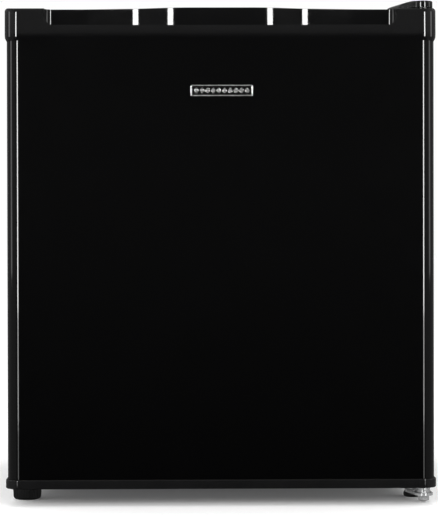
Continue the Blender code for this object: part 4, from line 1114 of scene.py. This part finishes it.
def make_top_hinge():
    low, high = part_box("top_hinge_bracket")
    top, clear = high.z, high.z + GAP
    plan = arc(HINGE, 0.0075, 180, 360, 24)
    plan += [(0.2155, -0.180), (0.2155, -0.1335), (0.192, -0.1335), (0.1865, -0.152), (0.1865, -0.180)]
    bracket = prism("upper_bracket", plan, "Z", low.z, high.z, "zinc")
    for place, radius in zip((*TOP_SCREWS, HINGE), (0.0028, 0.0028, 0.0043)):
        cut(bracket, rod("hole", (*place, 0.50), (*place, 0.53), radius, 28))
    show(bevelled(bracket, 0.0004, 3), "cabinet", "zinc_steel", "top_hinge_bracket")
    profile = [(0.0030, 0.4915), (0.0040, 0.4925), (0.0040, clear), (0.0058, clear)]
    profile += [(0.0055, top + 0.0012), (0.0045, top + 0.0016)]
    pin = turned("upper_hinge_pin", profile, HINGE, 40, "zinc")
    show(pin, "cabinet", "zinc_steel", "top_hinge_pin")
    profile = [(0.0012, 0.4975), (0.0024, 0.5000), (0.0024, clear), (0.0045, clear)]
    profile += [(0.0043, top + 0.0009), (0.0034, top + 0.0016)]
    for number, place in enumerate(TOP_SCREWS, 1):
        screw = turned(f"upper_bracket_screw_{number}", profile, place, 32, "zinc")
        show(screw, "cabinet", "zinc_steel", f"top_hinge_screw_{number}")


def centre_of(node):
    low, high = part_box(node)
    return (low + high) / 2


def make_feet():
    profile = [(0.0112, 0.0), (0.0128, 0.0005), (0.0139, 0.0015), (0.0145, 0.0030), (0.0150, 0.0108)]
    profile += [(0.0148, 0.0118), (0.0143, 0.0125), (0.0062, 0.0127), (0.0060, 0.0128), (0.0060, 0.0170)]
    profile += [(0.0055, 0.0176), (0.0039, 0.0177), (0.0039, 0.040)]
    place = centre_of("foot_front_left")
    foot = turned("ribbed_foot", profile, place, 160, "foot", ribs=32, rib_depth=0.0006, ribbed=(3, 4))
    show(foot, "front_left_foot", "black_plastic", "foot_front_left")
    profile = [(0.0086, 0.0), (0.0097, 0.0006), (0.0102, 0.0018), (0.0101, 0.0040), (0.0096, 0.0053)]
    profile += [(0.0070, 0.0060), (0.0047, 0.0068), (0.0045, 0.0090), (0.0052, 0.0110), (0.0070, 0.0140)]
    profile += [(0.0070, 0.0172), (0.0066, 0.0176), (0.0039, 0.0177), (0.0039, 0.040)]
    foot = turned("small_foot", profile, centre_of("foot_front_right"), 64, "foot")
    show(foot, "front_right_foot", "black_plastic", "foot_front_right")
    for side in ("left", "right"):
        node = f"foot_rear_{side}"
        profile = [(0.0100, 0.0), (0.0122, 0.0006), (0.0130, 0.0022), (0.0137, 0.0120), (0.0140, 0.0160)]
        profile += [(0.0136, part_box(node)[1].z)]
        foot = turned(f"rear_buffer_{side}", profile, centre_of(node), 64, "foot")
        show(foot, "cabinet", "black_plastic", node)


# Stage, light and camera ------------------------------------------------------------------------
def make_stage():
    bm = bmesh.new()
    bmesh.ops.create_grid(bm, x_segments=1, y_segments=1, size=30.0)
    floor = solid("studio_floor", bm, "white")
    paper = Maker("studio_floor", (0.97, 0.97, 0.97), 0.9, specular_ior_level=0.0).vary((3, 3), 0.004)
    paper.set(emission_color=(1, 1, 1, 1), emission_strength=0.038)
    floor.data.materials[0] = paper.made
    floor.location.z = -0.0002
    floor.visible_glossy = False


def make_world():
    """White to the camera and to matt surfaces, and a dark studio with lit sides in reflections."""
    world = bpy.data.worlds.new("studio")
    bpy.context.scene.world = world
    world.use_nodes = True
    tree = world.node_tree
    tree.nodes.clear()

    def node(kind, *inputs):
        return add_node(tree, kind, dict(enumerate(inputs)))

    def span(value, start, end, low, high):
        made = node("ShaderNodeMapRange", value, start, end, low, high)
        made.interpolation_type = "SMOOTHSTEP"
        return made.outputs["Result"]

    def background(strength):
        return node("ShaderNodeBackground", (1, 1, 1, 1), strength).outputs[0]

    def mix(share, first, second):
        return node("ShaderNodeMixShader", share, first, second).outputs[0]

    def plus(first, second):
        return node("ShaderNodeMath", first, second).outputs[0]

    # X is to the side and Z is up: a low glow all round, a ceiling, and the lit sides.
    path = node("ShaderNodeLightPath")
    split = node("ShaderNodeSeparateXYZ", node("ShaderNodeTexCoord").outputs["Generated"])
    aside = node("ShaderNodeMath", split.outputs["X"])
    aside.operation = "ABSOLUTE"
    around = span(split.outputs["Z"], -0.20, 0.06, 0.01, 0.062)
    ceiling = span(split.outputs["Z"], 0.12, 0.19, 0.0, 0.14)
    glow = plus(plus(around, ceiling), span(aside.outputs[0], 0.42, 0.70, 0.0, 0.17))
    glossy = mix(path.outputs["Is Glossy Ray"], background(1.0), background(glow))
    node("ShaderNodeOutputWorld", mix(path.outputs["Is Camera Ray"], glossy, background(1.0)))


def area(name, place, aim, width, height, power):
    light = bpy.data.lights.new(name, "AREA")
    light.shape = "RECTANGLE"
    light.size = width
    light.size_y = height
    light.energy = power
    made = bpy.data.objects.new(name, light)
    made.location = place
    made.rotation_euler = (Vector(aim) - Vector(place)).to_track_quat("-Z", "Y").to_euler()
    bpy.context.scene.collection.objects.link(made)
    made.visible_camera = False
    return made


def make_lights():
    """Two tall strips either side of the camera, dimmer panels at the sides, and one overhead."""
    middle, reach, width = 0.030, 0.985, 0.28
    for side in (-1, 1):
        for low, high, power in ((0.12, 1.45, 25.0), (-0.12, 0.12, 9.0), (-0.32, -0.12, 2.5)):
            place = (middle + side * reach, -2.30, (low + high) / 2)
            tall = high - low
            energy = power * math.pi * width * tall
            area(f"strip_{side}_{low}", place, (0.0, -0.2, place[2]), width, tall, energy)
        area(f"side_{side}", (side * 2.2, -0.555, 0.75), (side * 0.2, -0.2, 0.75), 0.55, 1.1, 3.2)
    overhead = area("overhead", (0.0, 0.2, 2.4), (0.0, 0.0, 0.4), 1.8, 1.2, 10.0)
    overhead.visible_glossy = False


def make_camera():
    """A long lens two metres off, a little left of the middle and a little above it."""
    data = bpy.data.cameras.new("photo_view")
    data.sensor_width = 36.0
    data.lens = 137.05
    data.clip_start = 0.05
    data.clip_end = 60.0
    camera = bpy.data.objects.new("photo_view", data)
    camera.location = (-0.0280, FRONT - 2.0, 0.2704)
    yaw, pitch, roll = (math.radians(turn) for turn in (0.742, -0.490, -0.123))
    ahead = Vector((math.sin(yaw) * math.cos(pitch), math.cos(yaw) * math.cos(pitch), math.sin(pitch)))
    camera.rotation_mode = "QUATERNION"
    camera.rotation_quaternion = ahead.to_track_quat("-Z", "Y") @ Quaternion((0, 0, 1), roll)
    bpy.context.scene.collection.objects.link(camera)
    bpy.context.scene.camera = camera


def paint_cad():
    paint("foam", "foam_insulation", "door_foam")
    paint("galvanised", "bottom_panel", "compressor_base", "thermostat_switch", bevel=0.0003)
    paint("side", "front_rail", bevel=0.0003)
    paint("galvanised", "condenser_bracket_1", "condenser_bracket_2", bevel=0.0002)
    paint("white_part", "door_bush_top", "door_bush_bottom", bevel=0.0003)
    paint("white_part", "evaporator_hanger_1", "evaporator_hanger_2", bevel=0.0006)
    paint("rubber", *(f"compressor_grommet_{n}" for n in range(1, 5)), bevel=0.0005)


def build():
    bpy.context.scene.view_settings.view_transform = "Standard"
    make_cap()
    make_trim()
    make_skin()
    make_badge()
    make_door_liner()
    make_gasket()
    make_rack("upper_door_rack", "upper_rack", "upper_rack", 0.030, 0.056, UPPER_HOOK)
    make_rack("lower_door_rack", "lower_rack", "lower_rack", 0.042, 0.082, LOWER_HOOK)
    make_cabinet_wrap()
    make_inner_liner()
    make_back_panel()
    make_evaporator()
    make_freezer_front()
    make_drip_tray()
    make_shelf()
    make_thermostat()
    make_compressor()
    make_condenser()
    make_pipes()
    make_blank_cap()
    make_hinge_cover()
    make_bottom_hinge()
    make_top_hinge()
    make_feet()
    paint_cad()
    make_stage()
    make_world()
    make_lights()
    make_camera()


build()
